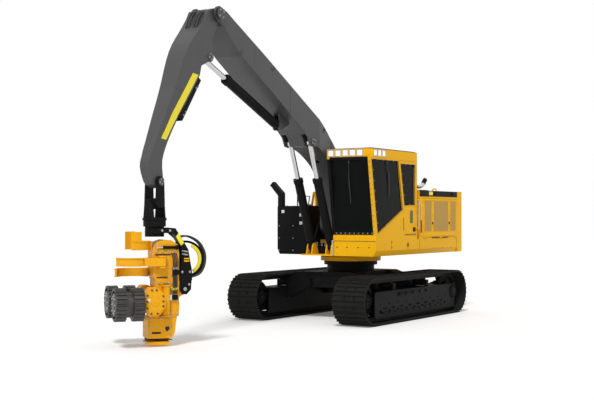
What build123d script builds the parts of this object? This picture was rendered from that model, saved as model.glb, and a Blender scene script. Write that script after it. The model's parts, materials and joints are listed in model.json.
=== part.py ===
from build123d import *
import os
from math import atan2, ceil, cos, degrees, hypot, pi, radians, sin

# Forestry harvester on tracks, in millimetres.
# While it is drawn, X points forward, Y to the machine's left and Z up, and the origin is on the
# ground under the slew axis. The last lines move it so that the origin is under the middle of it.

# Fits and small clearances
running_gap = 0.3
pin_gap = 0.06
body_gap = 12.0
panel_gap = 6.0

# Undercarriage
track_gauge = 2670.0
track_length = 5065.0
track_front = 2453.0
track_height = 1010.0
shoe_width = 775.0
shoe_thickness = 15.0
shoe_pitch = 203.0
shoe_lead = 0.38  # share of a pitch, so that each flat run ends just inside a grouser
grouser_height = 30.0
chain_height = 105.0
rail_width = 55.0
rail_gap = 110.0
frame_half_width = 250.0
frame_plate = 20.0
frame_box_bottom = 470.0
frame_box_top = 690.0
frame_skirt_bottom = 140.0
frame_end_gap = 198.0
frame_rear_lap = 93.0
roller_radius = 110.0
roller_count = 8
carrier_radius = 80.0
axle_radius = 50.0
carbody_top = 1045.0
carbody_bottom = 700.0
carbody_half_width = 640.0
leg_spacing = 1650.0
leg_width = 420.0
leg_foot_top = 900.0
leg_foot_bottom = 440.0
tow_eye_radius = 32.0

# Door hinges
hinge_out = 16.0
hinge_radius = 13.0
hinge_pin_radius = 6.0
hinge_leaf = 60.0

# Slew ring
pedestal_radius = 540.0
pedestal_height = 138.0
slew_ring_radius = 610.0
slew_ring_height = 92.0
slew_bore_radius = 300.0
slew_flange_radius = 690.0
slew_flange_height = 90.0

# Upper frame and what stands on it
deck_bottom = 1420.0
deck_top = 1760.0
deck_plate = 16.0
upper_half_width = 1417.0
upper_rear = -2750.0
cab_front_bottom = 1390.0
belt_chamfer = 120.0
front_floor_end = 1430.0
middle_front = 900.0
right_front = 150.0
counterweight_depth = 360.0
counterweight_top = 2880.0
counterweight_bulge = 70.0
house_front = -690.0
house_top = 2740.0
house_wall = 40.0
hood_height = 140.0
hood_front = -1180.0
exhaust_x = -950.0
exhaust_y = 700.0
exhaust_radius = 60.0
door_bottom = 1800.0
door_front = -880.0
door_rear = -2700.0
door_thickness = 40.0
tank_front = 1100.0
tank_inner = -440.0
tank_outer = -1290.0
tank_top = 2510.0
tank_bottom = 1426.0

# Cab
cab_inner = 360.0
cab_rear = -560.0
cab_front_top = 1650.0
cab_roof_bottom = 3550.0
cab_roof_height = 170.0
roof_corner_cut = 187.0
roof_corner_back = 130.0
cab_wall = 50.0
cab_sill = 1880.0
pod_wall_gap = 88.5
seat_side_gap = 20.0
post_width = 60.0
door_post_top = 330.0
door_post_bottom = 110.0
waist_height = 2540.0
glass_thickness = 19.0
lamp_size = 110.0

# Boom, in the side view
boom_foot = (780.0, 2050.0)
boom_tip = (5420.0, 6080.0)
boom_rod_pin = (2170.0, 3860.0)
boom_cylinder_foot = (1290.0, 1620.0)
stick_cylinder_foot = (3020.0, 4140.0)
boom_half_width = 330.0
boom_tip_half_width = 290.0
boom_leg_half_width = 250.0
boom_plate = 14.0
boom_foot_radius = 170.0
boom_tip_radius = 145.0
foot_pin_radius = 60.0
tip_pin_radius = 50.0
hose_port_x = 1450.0
hose_port_radius = 45.0
cylinder_spacing = 490.0

# Stick and what hangs from it
stick_rod_pin = (5600.0, 5260.0)
stick_end = (6950.0, 2890.0)
stick_top_half_width = 235.0
stick_end_half_width = 100.0
stick_plate = 12.0
stick_boss_radius = 120.0
stick_end_radius = 115.0
end_pin_radius = 45.0
stick_port_z = 4450.0

# Cylinders
boom_barrel_radius = 95.0
boom_bore_radius = 70.0
boom_rod_radius = 52.0
boom_barrel_length = 1580.0
boom_rod_length = 1560.0
stick_barrel_radius = 95.0
stick_bore_radius = 70.0
stick_rod_radius = 50.0
stick_barrel_length = 1990.0
stick_rod_length = 2000.0
cylinder_pin_radius = 40.0
cylinder_eye_radius = 80.0
cylinder_eye_width = 90.0

# Link, rotator and tilt bracket
link_drop = 400.0
link_plate = 40.0
cross_pin_radius = 40.0
rotator_top = 2280.0
rotator_bottom = 2100.0
rotator_radius = 200.0
rotor_radius = 170.0
bracket_top = 2060.0
head_turn = -38.0
tilt_pin = (-470.0, 1000.0)
tilt_pin_radius = 45.0
bracket_half_width = 230.0
bracket_plate = 45.0

# Felling head, in its own side view: forward is the side that takes the trunk
head_bottom = 30.0
head_top = 1870.0
head_back = -360.0
head_face = 100.0
head_back_wall = 110.0
head_offset = 28.0
head_half_width = 240.0
trunk_centre = 420.0
knife_inner_radius = 270.0
knife_thickness = 36.0
knife_pivot = (-50.0, 310.0)
arm_pivot = (-120.0, 310.0)
pivot_hub_radius = 60.0
pivot_pin_radius = 30.0
arm_bottom = 560.0
arm_top = 1050.0
feed_roller_radius = 290.0
feed_roller_offset = 370.0
feed_roller_start = 310.0
feed_roller_length = 500.0
feed_roller_teeth = 22
motor_shaft_radius = 80.0
saw_box_top = 530.0
saw_slot_bottom = 85.0
saw_slot_height = 60.0
saw_pivot = (110.0, -160.0)
saw_bar_length = 500.0
saw_bar_width = 90.0
saw_bar_thickness = 14.0
saw_rest_turn = 135.0

# Worked out from the sizes above
wheel_z = track_height / 2
plate_radius = wheel_z - grouser_height
chain_radius = plate_radius - shoe_thickness
run_radius = chain_radius - chain_height
front_wheel_x = track_front - wheel_z
rear_wheel_x = track_front - track_length + wheel_z
wheelbase = front_wheel_x - rear_wheel_x
loop_middle = (front_wheel_x + rear_wheel_x) / 2
track_y = track_gauge / 2
roller_z = wheel_z - run_radius + running_gap + roller_radius
slew_seat = carbody_top + pedestal_height + slew_ring_height + running_gap
counterweight_rear = upper_rear - counterweight_depth
cab_roof_top = cab_roof_bottom + cab_roof_height
cylinder_y = cylinder_spacing / 2
link_z = stick_end[1] - link_drop
rotor_axis = stick_end[0]
roller_axis_z = (arm_bottom + arm_top) / 2 - 45

nodes = {}


def side_face(outline, y=0.0):
    """Face in the side view from a closed list of (x, z) corners."""
    return make_face(Polyline(*[(x, y, z) for x, z in outline], close=True))


def side_prism(outline, y_low, y_high):
    return extrude(side_face(outline, y_low), amount=y_high - y_low, dir=(0, 1, 0))


def plan_prism(outline, z_low, z_high):
    face = make_face(Polyline(*[(x, y, z_low) for x, y in outline], close=True))
    return extrude(face, amount=z_high - z_low, dir=(0, 0, 1))


def end_prism(outline, x_low, x_high):
    """Prism along X from a closed list of (y, z) corners."""
    face = make_face(Polyline(*[(x_low, y, z) for y, z in outline], close=True))
    return extrude(face, amount=x_high - x_low, dir=(1, 0, 0))


def block(x_low, x_high, y_low, y_high, z_low, z_high):
    box = Box(x_high - x_low, y_high - y_low, z_high - z_low)
    return Pos((x_low + x_high) / 2, (y_low + y_high) / 2, (z_low + z_high) / 2) * box


def rod_along_y(x, z, radius, y_low, y_high):
    return Pos(x, (y_low + y_high) / 2, z) * Rot(90, 0, 0) * Cylinder(radius, y_high - y_low)


def rod_along_x(y, z, radius, x_low, x_high):
    return Pos((x_low + x_high) / 2, y, z) * Rot(0, 90, 0) * Cylinder(radius, x_high - x_low)


def post(x, y, radius, z_low, z_high):
    return Pos(x, y, (z_low + z_high) / 2) * Cylinder(radius, z_high - z_low)


def mirrored(shape):
    return mirror(shape, about=Plane.XZ)


def turned_about_z(point, angle):
    x, y = point
    return (x * cos(angle) - y * sin(angle), x * sin(angle) + y * cos(angle))


# Tracks: one closed loop of shoes, each with two grousers, on two chain rails
def loop_point(travel, height):
    """Point of the loop, from how far along its plates and how high above them."""
    turn = pi * plate_radius
    travel %= 2 * (wheelbase + turn)
    reach = plate_radius + height
    if travel < wheelbase:
        return (front_wheel_x - travel, wheel_z + reach)
    travel -= wheelbase
    if travel < turn:
        angle = pi / 2 + travel / plate_radius
        return (rear_wheel_x + reach * cos(angle), wheel_z + reach * sin(angle))
    travel -= turn
    if travel < wheelbase:
        return (rear_wheel_x + travel, wheel_z - reach)
    angle = 1.5 * pi + (travel - wheelbase) / plate_radius
    return (front_wheel_x + reach * cos(angle), wheel_z + reach * sin(angle))


def stadium(radius, y_low, y_high):
    plane = Plane((loop_middle, y_low, wheel_z), x_dir=(1, 0, 0), z_dir=(0, -1, 0))
    return extrude(plane * SlotCenterToCenter(wheelbase, 2 * radius), amount=y_high - y_low, dir=(0, 1, 0))


def track_loop():
    loop_length = 2 * (wheelbase + pi * plate_radius)
    shoe_count = round(loop_length / shoe_pitch)
    pitch = loop_length / shoe_count
    shoe_steps = [(0.02, -6), (0.05, 0), (0.10, 0), (0.14, grouser_height), (0.20, grouser_height),
                  (0.25, 0), (0.60, 0), (0.65, grouser_height), (0.71, grouser_height), (0.76, 0), (0.97, 0)]
    outline = [loop_point((shoe + part + shoe_lead) * pitch, height)
               for shoe in range(shoe_count) for part, height in shoe_steps]
    belt = side_prism(outline, -shoe_width / 2, shoe_width / 2)
    belt -= stadium(chain_radius, -shoe_width / 2, shoe_width / 2)
    rail_inner = rail_gap / 2
    rail = stadium(chain_radius + 1, rail_inner, rail_inner + rail_width)
    rail -= stadium(run_radius, rail_inner, rail_inner + rail_width)
    return belt + rail + mirrored(rail)


def track_frame():
    """Frame of the left track about its own middle line: two side plates on a box, with its outer side at +Y."""
    front = front_wheel_x - frame_end_gap
    rear = rear_wheel_x - frame_rear_lap
    box_front = front_wheel_x - plate_radius + 45
    box_rear = rear_wheel_x + plate_radius - 25
    half = frame_half_width
    inner = half - frame_plate
    frame = block(box_rear, box_front, -inner - 1, inner + 1, frame_box_bottom, frame_box_top)
    frame -= block(box_rear + frame_plate, box_front - frame_plate, -inner, inner,
                   frame_box_bottom + frame_plate, frame_box_top - frame_plate)
    for y_low, y_high in ((inner, half), (-half, -inner)):
        frame += block(rear, front, y_low, y_high, frame_skirt_bottom, frame_box_top)
    lip = frame_plate
    frame += block(rear, front, half - 1, half + lip, frame_box_top - lip, frame_box_top)
    frame += block(rear, front, half - 1, half + lip, frame_skirt_bottom, frame_skirt_bottom + lip)
    for x in roller_places(roller_count + 1, 0.5):
        frame -= rod_along_y(x, roller_z + 10, 36, inner - 5, half + 5)
        frame -= rod_along_y(x, frame_box_bottom - 45, 20, inner - 5, half + 5)
    yoke_inner = rail_gap / 2 + rail_width + 35
    yoke = block(box_front - 1, front_wheel_x, yoke_inner, yoke_inner + 45, wheel_z - 60, wheel_z + 90)
    yoke += rod_along_y(front_wheel_x, wheel_z, 140, yoke_inner, yoke_inner + 45)
    yoke -= rod_along_y(front_wheel_x, wheel_z, axle_radius + running_gap, yoke_inner - 5, yoke_inner + 50)
    frame += yoke + mirrored(yoke)
    frame += rod_along_y(rear_wheel_x, wheel_z, 200, -half - 70, -half + 1)
    for x in carrier_places():
        for side in (-1, 1):
            y = side * (rail_gap / 2 + rail_width + 45)
            frame += block(x - 60, x + 60, y - 20, y + 20, frame_box_top - 1, carrier_z() + 50)
    return frame


def roller_places(count, offset):
    first = front_wheel_x - frame_end_gap - 60
    last = rear_wheel_x + frame_end_gap + 60
    step = (first - last) / (roller_count + 1)
    return [first - (number + offset) * step for number in range(count)]


def carrier_places():
    return [loop_middle - wheelbase * 0.2, loop_middle + wheelbase * 0.2]


def carrier_z():
    return wheel_z + run_radius - running_gap - carrier_radius


def track_rollers():
    """Rollers of one track, about its middle line: a row below the frame and two on top."""
    tread = rail_gap / 2 + rail_width
    inner = frame_half_width - frame_plate - running_gap
    rollers = []
    for x in roller_places(roller_count, 1.0):
        roller = rod_along_y(x, roller_z, roller_radius, -tread, tread)
        roller += rod_along_y(x, roller_z, roller_radius + 22, -rail_gap / 2 + 8, rail_gap / 2 - 8)
        roller += rod_along_y(x, roller_z, 45, -inner, inner)
        rollers.append(roller)
    for x in carrier_places():
        roller = rod_along_y(x, carrier_z(), carrier_radius, -tread, tread)
        roller += rod_along_y(x, carrier_z(), 35, -tread - 24.7, tread + 24.7)
        rollers.append(roller)
    return rollers


def idler():
    half = rail_gap / 2 + rail_width
    reach = run_radius - running_gap
    profile = [(axle_radius - 10, -half - 30), (90, -half - 30), (90, -60), (reach - 70, -60),
               (reach - 50, -half), (reach, -half), (reach, -rail_gap / 2 + 8), (reach + 45, -rail_gap / 2 + 20)]
    full = profile + [(r, -y) for r, y in reversed(profile)]
    face = make_face(Polyline(*[(front_wheel_x + r, y, wheel_z) for r, y in full], close=True))
    wheel = revolve(face, axis=Axis((front_wheel_x, 0, wheel_z), (0, 1, 0)))
    reach_out = half + 35 + 45 + 15
    wheel += rod_along_y(front_wheel_x, wheel_z, axle_radius, -reach_out, reach_out)
    wheel -= rod_along_y(front_wheel_x, wheel_z, axle_radius - 25, half + 60, reach_out + 1)
    return wheel


def sprocket():
    root_radius = run_radius + 20
    tip_radius = chain_radius - 30
    teeth = round(2 * pi * (run_radius + chain_height / 2) / (shoe_pitch / 2))
    outline = []
    for tooth in range(teeth):
        for part, radius in ((0.0, root_radius), (0.28, root_radius), (0.42, tip_radius), (0.58, tip_radius),
                             (0.72, root_radius)):
            angle = 2 * pi * (tooth + part) / teeth
            outline.append((rear_wheel_x + radius * cos(angle), wheel_z + radius * sin(angle)))
    wheel = side_prism(outline, -rail_gap / 2 + 15, rail_gap / 2 - 15)
    inner_end = -(frame_half_width - frame_plate) + running_gap
    wheel += rod_along_y(rear_wheel_x, wheel_z, 240, inner_end, rail_gap / 2 + 60)
    wheel += rod_along_y(rear_wheel_x, wheel_z, 180, rail_gap / 2 + 60, frame_half_width - 60)
    return wheel


def hinge_knuckles(line, places, half, side):
    """Knuckles with their leaves on a door, or the lugs and pins that carry them, along a hinge line.

    The line is a plane with Z along the hinge and X towards the door, one gap in front of its face.
    """
    pieces = []
    for place in places:
        if side == "door":
            knuckle = Pos(0, 0, place) * Cylinder(hinge_radius, 2 * half)
            knuckle += Pos(hinge_leaf / 2, -hinge_out + 4, place) * Box(hinge_leaf, 8, 2 * half)
            knuckle -= Pos(0, 0, place) * Cylinder(hinge_pin_radius + pin_gap, 3 * half)
            pieces.append(knuckle)
            continue
        pin = Pos(0, 0, place) * Cylinder(hinge_pin_radius, 2 * half + 30)
        for end in (-1, 1):
            middle = place + end * (half + 9)
            pin += Pos(0, 0, middle) * Cylinder(hinge_radius, 14)
            pin += Pos(-hinge_leaf / 4, -hinge_out / 2 - 4, middle) * Box(hinge_leaf / 2, 10, 14)
            pin += Pos(-hinge_leaf / 4, -hinge_out / 2, middle) * Box(hinge_leaf / 2, hinge_out, 14)
        pieces.append(pin)
    return [line * piece for piece in pieces]


def both_sides(shape):
    """The left piece in its place and its mirror image on the right."""
    left = Pos(0, track_y, 0) * shape
    return left, mirrored(left)


nodes["track_left"], nodes["track_right"] = both_sides(track_loop())
nodes["track_frame_left"], nodes["track_frame_right"] = both_sides(track_frame())
nodes["track_idlers"] = Compound(children=list(both_sides(idler())))
nodes["track_sprockets"] = Compound(children=list(both_sides(sprocket())))
all_rollers = []
for track_roller in track_rollers():
    all_rollers.extend(both_sides(track_roller))
nodes["track_rollers"] = Compound(children=all_rollers)


# Carbody: a middle box on four sloping legs, with the slew pedestal on top
def carbody():
    reach = track_y - frame_half_width
    half_section = [(0, carbody_top), (carbody_half_width, carbody_top), (reach, leg_foot_top),
                    (reach, leg_foot_bottom), (carbody_half_width, carbody_bottom), (0, carbody_bottom)]
    section = half_section + [(-y, z) for y, z in reversed(half_section[1:-1])]
    body = block(-leg_spacing / 2, leg_spacing / 2, -carbody_half_width, carbody_half_width,
                 carbody_bottom, carbody_top)
    for middle in (-leg_spacing / 2, leg_spacing / 2):
        body += end_prism(section, middle - leg_width / 2, middle + leg_width / 2)
    body -= block(-leg_spacing / 2, leg_spacing / 2, -carbody_half_width + 60, carbody_half_width - 60,
                  carbody_bottom + 40, carbody_top - 60)
    body -= post(0, 0, slew_bore_radius, carbody_bottom - 1, carbody_top + 1)
    for side in (-1, 1):
        eye_y = side * (carbody_half_width - 220)
        lug = block(leg_spacing / 2 + leg_width / 2 - 5, leg_spacing / 2 + leg_width / 2 + 110,
                    eye_y - 25, eye_y + 25, carbody_bottom + 40, carbody_bottom + 190)
        lug -= rod_along_y(leg_spacing / 2 + leg_width / 2 + 60, carbody_bottom + 115, tow_eye_radius,
                           eye_y - 30, eye_y + 30)
        body += lug
    return body


nodes["carbody"] = carbody()

slew_base = post(0, 0, pedestal_radius, carbody_top, carbody_top + pedestal_height)
slew_base += post(0, 0, slew_ring_radius, carbody_top + pedestal_height, slew_seat - running_gap)
slew_base -= post(0, 0, slew_bore_radius, carbody_top - 1, slew_seat)
nodes["slew_base"] = slew_base

slew_flange = post(0, 0, slew_flange_radius, slew_seat, slew_seat + slew_flange_height)
slew_flange += post(0, 0, slew_ring_radius - 10, slew_seat + slew_flange_height - 1, deck_bottom)
slew_flange -= post(0, 0, slew_bore_radius, slew_seat - 1, deck_bottom + 1)
nodes["slew_flange"] = slew_flange


# Upper frame: a closed belt round the deck, with the floor and lugs for the boom cylinders in front
def upper_frame():
    outline = [(upper_rear, -upper_half_width), (right_front, -upper_half_width), (right_front, tank_inner),
               (middle_front, tank_inner), (middle_front, cab_inner), (cab_front_bottom, cab_inner),
               (cab_front_bottom, upper_half_width), (upper_rear, upper_half_width)]
    section_half = [(0, deck_top), (upper_half_width, deck_top), (upper_half_width, deck_bottom + belt_chamfer),
                    (upper_half_width - belt_chamfer * 0.6, deck_bottom), (0, deck_bottom)]
    section = section_half + [(-y, z) for y, z in reversed(section_half[1:-1])]
    belt = plan_prism(outline, deck_bottom, deck_top) & end_prism(section, upper_rear, cab_front_bottom)
    inset = deck_plate
    inner_outline = [(upper_rear + inset, -upper_half_width + inset), (right_front - inset, -upper_half_width + inset),
                     (right_front - inset, tank_inner + inset), (middle_front - inset, tank_inner + inset),
                     (middle_front - inset, cab_inner + inset), (cab_front_bottom - inset, cab_inner + inset),
                     (cab_front_bottom - inset, upper_half_width - inset), (upper_rear + inset, upper_half_width - inset)]
    inner_half = [(0, deck_top - inset), (upper_half_width - inset, deck_top - inset),
                  (upper_half_width - inset, deck_bottom + belt_chamfer), (upper_half_width - belt_chamfer, deck_bottom + inset),
                  (0, deck_bottom + inset)]
    inner_section = inner_half + [(-y, z) for y, z in reversed(inner_half[1:-1])]
    belt -= plan_prism(inner_outline, deck_bottom, deck_top) & end_prism(inner_section, upper_rear, cab_front_bottom)
    front_cut = [(cab_front_bottom + 5, deck_bottom - 5), (cab_front_bottom - 5, deck_bottom + 60),
                 (cab_front_bottom - 400, deck_bottom - 5)]
    frame = belt
    frame += block(middle_front - 1, front_floor_end, tank_inner, cab_inner, deck_bottom, deck_bottom + 30)
    foot_x, foot_z = boom_cylinder_foot
    lug = [(foot_x - 150, deck_bottom + 29), (foot_x + 125, deck_bottom + 29), (foot_x + 85, foot_z + 10),
           (foot_x + 45, foot_z + 72), (foot_x - 45, foot_z + 72), (foot_x - 90, foot_z + 10)]
    eye_half = cylinder_eye_width / 2
    for side in (-1, 1):
        for edge in (-1, 1):
            near = side * cylinder_y + edge * (eye_half + panel_gap)
            far = near + edge * 28
            frame += side_prism(lug, min(near, far), max(near, far))
        pin_half = eye_half + panel_gap + 28
        frame += rod_along_y(foot_x, foot_z, cylinder_pin_radius, side * cylinder_y - pin_half,
                             side * cylinder_y + pin_half)
    return frame


nodes["upper_frame"] = upper_frame()


# Boom tower: two cheek plates round the boom foot, tied by a back wall and the foot pin
def boom_tower():
    foot_x, foot_z = boom_foot
    inner = boom_leg_half_width + body_gap
    outer = inner + 40
    back = foot_x - 430
    front = foot_x + 340
    cheek = [(back, deck_top), (middle_front, deck_top), (middle_front, deck_bottom + 30), (front, deck_bottom + 30),
             (front, deck_top + 60), (foot_x + 150, foot_z + 130), (foot_x - 120, foot_z + 190),
             (back, foot_z + 60)]
    plate = side_prism(cheek, inner, outer)
    tower = plate + mirrored(plate)
    tower += block(back, back + 40, -inner - 1, inner + 1, deck_top, foot_z - 120)
    tower += block(front - 40, front, -inner - 1, inner + 1, deck_bottom + 30, deck_top - 60)
    tower += rod_along_y(foot_x, foot_z, foot_pin_radius, -outer - 18, outer + 18)
    return tower


nodes["boom_tower"] = boom_tower()


# Counterweight: cast block across the rear, bulged behind and chamfered below
def counterweight():
    half = upper_half_width
    corner = 110
    back = counterweight_rear
    edge = Polyline((upper_rear, -half, 0), (back + corner, -half, 0), (back, -half + corner, 0))
    edge += ThreePointArc((back, -half + corner, 0), (back - counterweight_bulge, 0, 0), (back, half - corner, 0))
    edge += Polyline((back, half - corner, 0), (back + corner, half, 0), (upper_rear, half, 0), (upper_rear, -half, 0))
    cast = Pos(0, 0, deck_bottom) * extrude(make_face(edge), amount=counterweight_top - deck_bottom, dir=(0, 0, 1))
    chamfer_cut = [(back - 200, deck_bottom - 5), (back + 150, deck_bottom - 5), (back - 5, deck_bottom + belt_chamfer),
                   (back - 200, deck_bottom + belt_chamfer)]
    cast -= side_prism(chamfer_cut, -half - 5, half + 5)
    cast -= block(back - 200, back + 60, -420, 420, counterweight_top - 160, counterweight_top + 5)
    return cast


nodes["counterweight"] = counterweight()


# Engine house: open-sided frame with a left opening for its door, a right outlet grille and a fixed
# cover round the exhaust in front of the hood
def hood_shell(x_low, x_high, bottom):
    half = upper_half_width - panel_gap
    top = bottom + hood_height
    section = [(-half, bottom), (half, bottom), (half, top - 10), (half - 60, top), (-half + 60, top), (-half, top - 10)]
    inner = [(-half + 20, bottom - 1), (half - 20, bottom - 1), (half - 20, top - 30), (-half + 20, top - 30)]
    return end_prism(section, x_low, x_high) - end_prism(inner, x_low + 20, x_high - 20)


def engine_house():
    half = upper_half_width - panel_gap
    wall = house_wall
    rear = upper_rear
    house = block(rear, house_front, -half, half, deck_top, house_top)
    house -= block(rear + wall, house_front - wall, -half + wall, half - wall, deck_top - 1, house_top + 1)
    gap = panel_gap
    house -= block(door_rear - gap, door_front + gap, half - wall - 1, half + 1, door_bottom - gap, house_top - wall)
    house += hood_shell(hood_front + gap, house_front, house_top)
    house -= post(exhaust_x, exhaust_y, exhaust_radius + 30, house_top, house_top + hood_height + 1)
    slot_pitch = 70
    slot_count = 10
    for slot in range(slot_count):
        z = deck_top + 160 + slot * slot_pitch
        house -= block(rear + 250, rear + 1250, -half - 1, -half + wall + 1, z, z + 30)
    return house


nodes["engine_house"] = engine_house()
engine_height = 850.0
engine = block(-2350, -1150, -350, 450, deck_top, deck_top + engine_height)
engine += block(-2150, -1400, -250, 350, deck_top + engine_height - 1, deck_top + engine_height + 90)
nodes["engine_block"] = engine


# Engine door: left panel with three louvred grilles, hinged along its foot so that it folds out level
def louvred_door():
    outer = upper_half_width - panel_gap
    inner = outer - door_thickness
    top = house_top - house_wall - panel_gap
    door = block(door_rear, door_front, inner, outer, door_bottom, top)
    panels = ((-960, -1300), (-1440, -2210), (-2350, -2640))
    slat_pitch = 52
    bottom = door_bottom + 150
    slat_top = top - 60
    count = int((slat_top - bottom) / slat_pitch)
    for x_front, x_rear in panels:
        for slat in range(count):
            z = bottom + slat * slat_pitch
            slot = [(inner - 1, z), (outer + 1, z - 22), (outer + 1, z + 4), (inner - 1, z + 26)]
            door -= end_prism(slot, x_rear, x_front)
    return door


engine_hinge_y = upper_half_width - panel_gap + hinge_out
engine_hinge_z = door_bottom - hinge_radius - 1
engine_hinge_line = Plane((0, engine_hinge_y, engine_hinge_z), x_dir=(0, 0, 1), z_dir=(-1, 0, 0))
engine_hinge_places = (960.0, 1790.0, 2620.0)
engine_door = louvred_door()
for knuckle in hinge_knuckles(engine_hinge_line, engine_hinge_places, 40, "door"):
    engine_door += knuckle
nodes["engine_door"] = engine_door
belt_space = block(upper_rear, house_front, 0, upper_half_width + 40, deck_bottom, deck_top)
for lug in hinge_knuckles(engine_hinge_line, engine_hinge_places, 40, "frame"):
    nodes["engine_house"] += lug - belt_space


# Hood: lid over the engine house, on three knuckle hinges along its right edge
engine_hood = hood_shell(upper_rear + panel_gap, hood_front, house_top + running_gap)
hood_hinge_y = -engine_hinge_y
hood_hinge_z = house_top + running_gap - hinge_radius - 1
hood_hinge_line = Plane((0, hood_hinge_y, hood_hinge_z), x_dir=(0, 0, 1), z_dir=(1, 0, 0))
hood_hinge_places = (-2600.0, -1960.0, -1350.0)
for knuckle in hinge_knuckles(hood_hinge_line, hood_hinge_places, 40, "door"):
    engine_hood += knuckle
nodes["engine_hood"] = engine_hood
for lug in hinge_knuckles(hood_hinge_line, hood_hinge_places, 40, "frame"):
    nodes["engine_house"] += lug

# Exhaust: upright stack through the hood with a tail pipe cut at an angle
stack_top = house_top + hood_height + 60
exhaust = post(exhaust_x, exhaust_y, exhaust_radius, deck_top + engine_height + 50, stack_top)
tail = Pos(exhaust_x, exhaust_y, stack_top) * Rot(0, -38, 0) * Pos(0, 0, 110) * Cylinder(exhaust_radius * 0.75, 260)
exhaust += tail
exhaust += block(exhaust_x - 350, exhaust_x + 60, exhaust_y - 400, exhaust_y + 60,
                 deck_top + engine_height + running_gap, deck_top + engine_height + 91)
nodes["exhaust"] = exhaust


# Front tank: black box beside the boom with its lower outer edge cut away, and the camera stalk
def front_tank():
    cut = 60
    section = [(tank_inner, tank_top), (tank_inner, tank_bottom), (tank_outer + cut, tank_bottom),
               (tank_outer, tank_bottom + 2 * cut), (tank_outer, tank_top)]
    tank = end_prism(section, right_front, tank_front)
    wall = 30
    inner = [(tank_inner - wall, tank_top - wall), (tank_inner - wall, tank_bottom + wall),
             (tank_outer + cut + wall, tank_bottom + wall), (tank_outer + wall, tank_bottom + 2 * cut + wall),
             (tank_outer + wall, tank_top - wall)]
    tank -= end_prism(inner, right_front + wall, tank_front - wall)
    return tank


nodes["front_tank"] = front_tank()
stalk_half = 60.0
stalk_x = tank_front - stalk_half - 10
stalk_y = tank_outer + stalk_half + 5
stalk_bend = 2810.0
stalk_lean = [(stalk_y + stalk_half, stalk_bend - 60), (stalk_y + stalk_half, stalk_bend),
              (stalk_y - 200, stalk_bend + 260), (stalk_y - 280, stalk_bend + 180), (stalk_y - stalk_half, stalk_bend - 60)]
stalk = block(stalk_x - stalk_half, stalk_x + stalk_half, stalk_y - stalk_half, stalk_y + stalk_half,
              tank_top, stalk_bend - 60)
stalk += end_prism(stalk_lean, stalk_x - stalk_half, stalk_x + stalk_half)
nodes["camera_stalk"] = stalk

# Step rail on the tank's rear: yellow A of bent bar beside the boom foot
rail_x = 600.0
rail_profile = [(-700, tank_top), (-640, 2840), (-560, 2840), (-500, tank_top), (-540, tank_top), (-585, 2790),
                (-615, 2790), (-660, tank_top)]
nodes["step_rail"] = end_prism(rail_profile, rail_x - 20, rail_x + 20)

# Right side house: tool and pump box behind the tank
pump_house = block(house_front + 200, right_front - 2, -upper_half_width + 6, tank_inner - 180, deck_top, 2500)
pump_house -= block(house_front + 230, right_front - 32, -upper_half_width + 36, tank_inner - 210, deck_top - 1, 2470)
nodes["pump_house"] = pump_house


# Cab: hollow shell of floor, walls and posts, open where the glass, the door and the roof go
def front_x(z):
    """Forward edge of the cab at a height: the screen leans forward as it rises."""
    return cab_front_bottom + (cab_front_top - cab_front_bottom) * (z - cab_sill) / (cab_roof_bottom - cab_sill)


def door_edge_x(z):
    if z < waist_height - 120:
        return door_post_bottom
    share = (z - waist_height + 120) / (cab_roof_bottom - waist_height + 120)
    return door_post_bottom + (door_post_top - door_post_bottom) * share


def cab_shell():
    left = upper_half_width
    base = deck_top
    outline = [(cab_rear, base), (cab_front_bottom, base), (cab_front_bottom, cab_sill),
               (cab_front_top, cab_roof_bottom), (cab_rear, cab_roof_bottom)]
    shell = side_prism(outline, cab_inner, left)
    wall = cab_wall
    inner = [(cab_rear + wall, base + 40), (cab_front_bottom - wall, base + 40), (cab_front_bottom - wall, cab_sill),
             (cab_front_top - wall, cab_roof_bottom + 1), (cab_rear + wall, cab_roof_bottom + 1)]
    shell -= side_prism(inner, cab_inner + wall, left - wall)
    top = cab_roof_bottom - 60
    screen = [(front_x(cab_sill) - 200, cab_sill), (front_x(cab_sill) + 300, cab_sill),
              (front_x(top) + 300, top), (front_x(top) - 200, top)]
    shell -= side_prism(screen, cab_inner + post_width, left - post_width)
    shell -= block(cab_rear - 1, cab_rear + wall + 1, cab_inner + 120, left - 120, waist_height, top)
    window = side_window()
    shell -= side_prism(window, left - wall - 1, left + 1)
    shell -= side_prism(window, cab_inner - 1, cab_inner + wall + 1)
    shell -= side_prism(door_outline(-panel_gap), left - wall - 1, left + 1)
    return shell


def side_window():
    """Opening between the front post, the rising waist line and the door post."""
    top = cab_roof_bottom - 60
    low = cab_sill + 40
    reach = post_width
    return [(front_x(low) - reach - 30, low), (front_x(top) - reach, top),
            (door_edge_x(top) + reach, top), (door_edge_x(waist_height - 120) + reach, waist_height - 110)]


def door_outline(inset):
    """Door in the side view, between the slanted door post and the rear corner."""
    bottom = cab_sill - 20 + inset
    top = cab_roof_bottom - 40 - inset
    rear = cab_rear + 70 + inset
    corner = waist_height - 120
    return [(rear, bottom), (door_edge_x(bottom) - inset, bottom), (door_edge_x(corner) - inset, corner),
            (door_edge_x(top) - inset, top), (rear, top)]


def door_window():
    top = cab_roof_bottom - 110
    return [(cab_rear + 130, waist_height), (-160, waist_height), (door_edge_x(waist_height - 60) - 60, waist_height - 60 + 40),
            (door_edge_x(top) - 60, top), (cab_rear + 130, top)]


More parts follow.
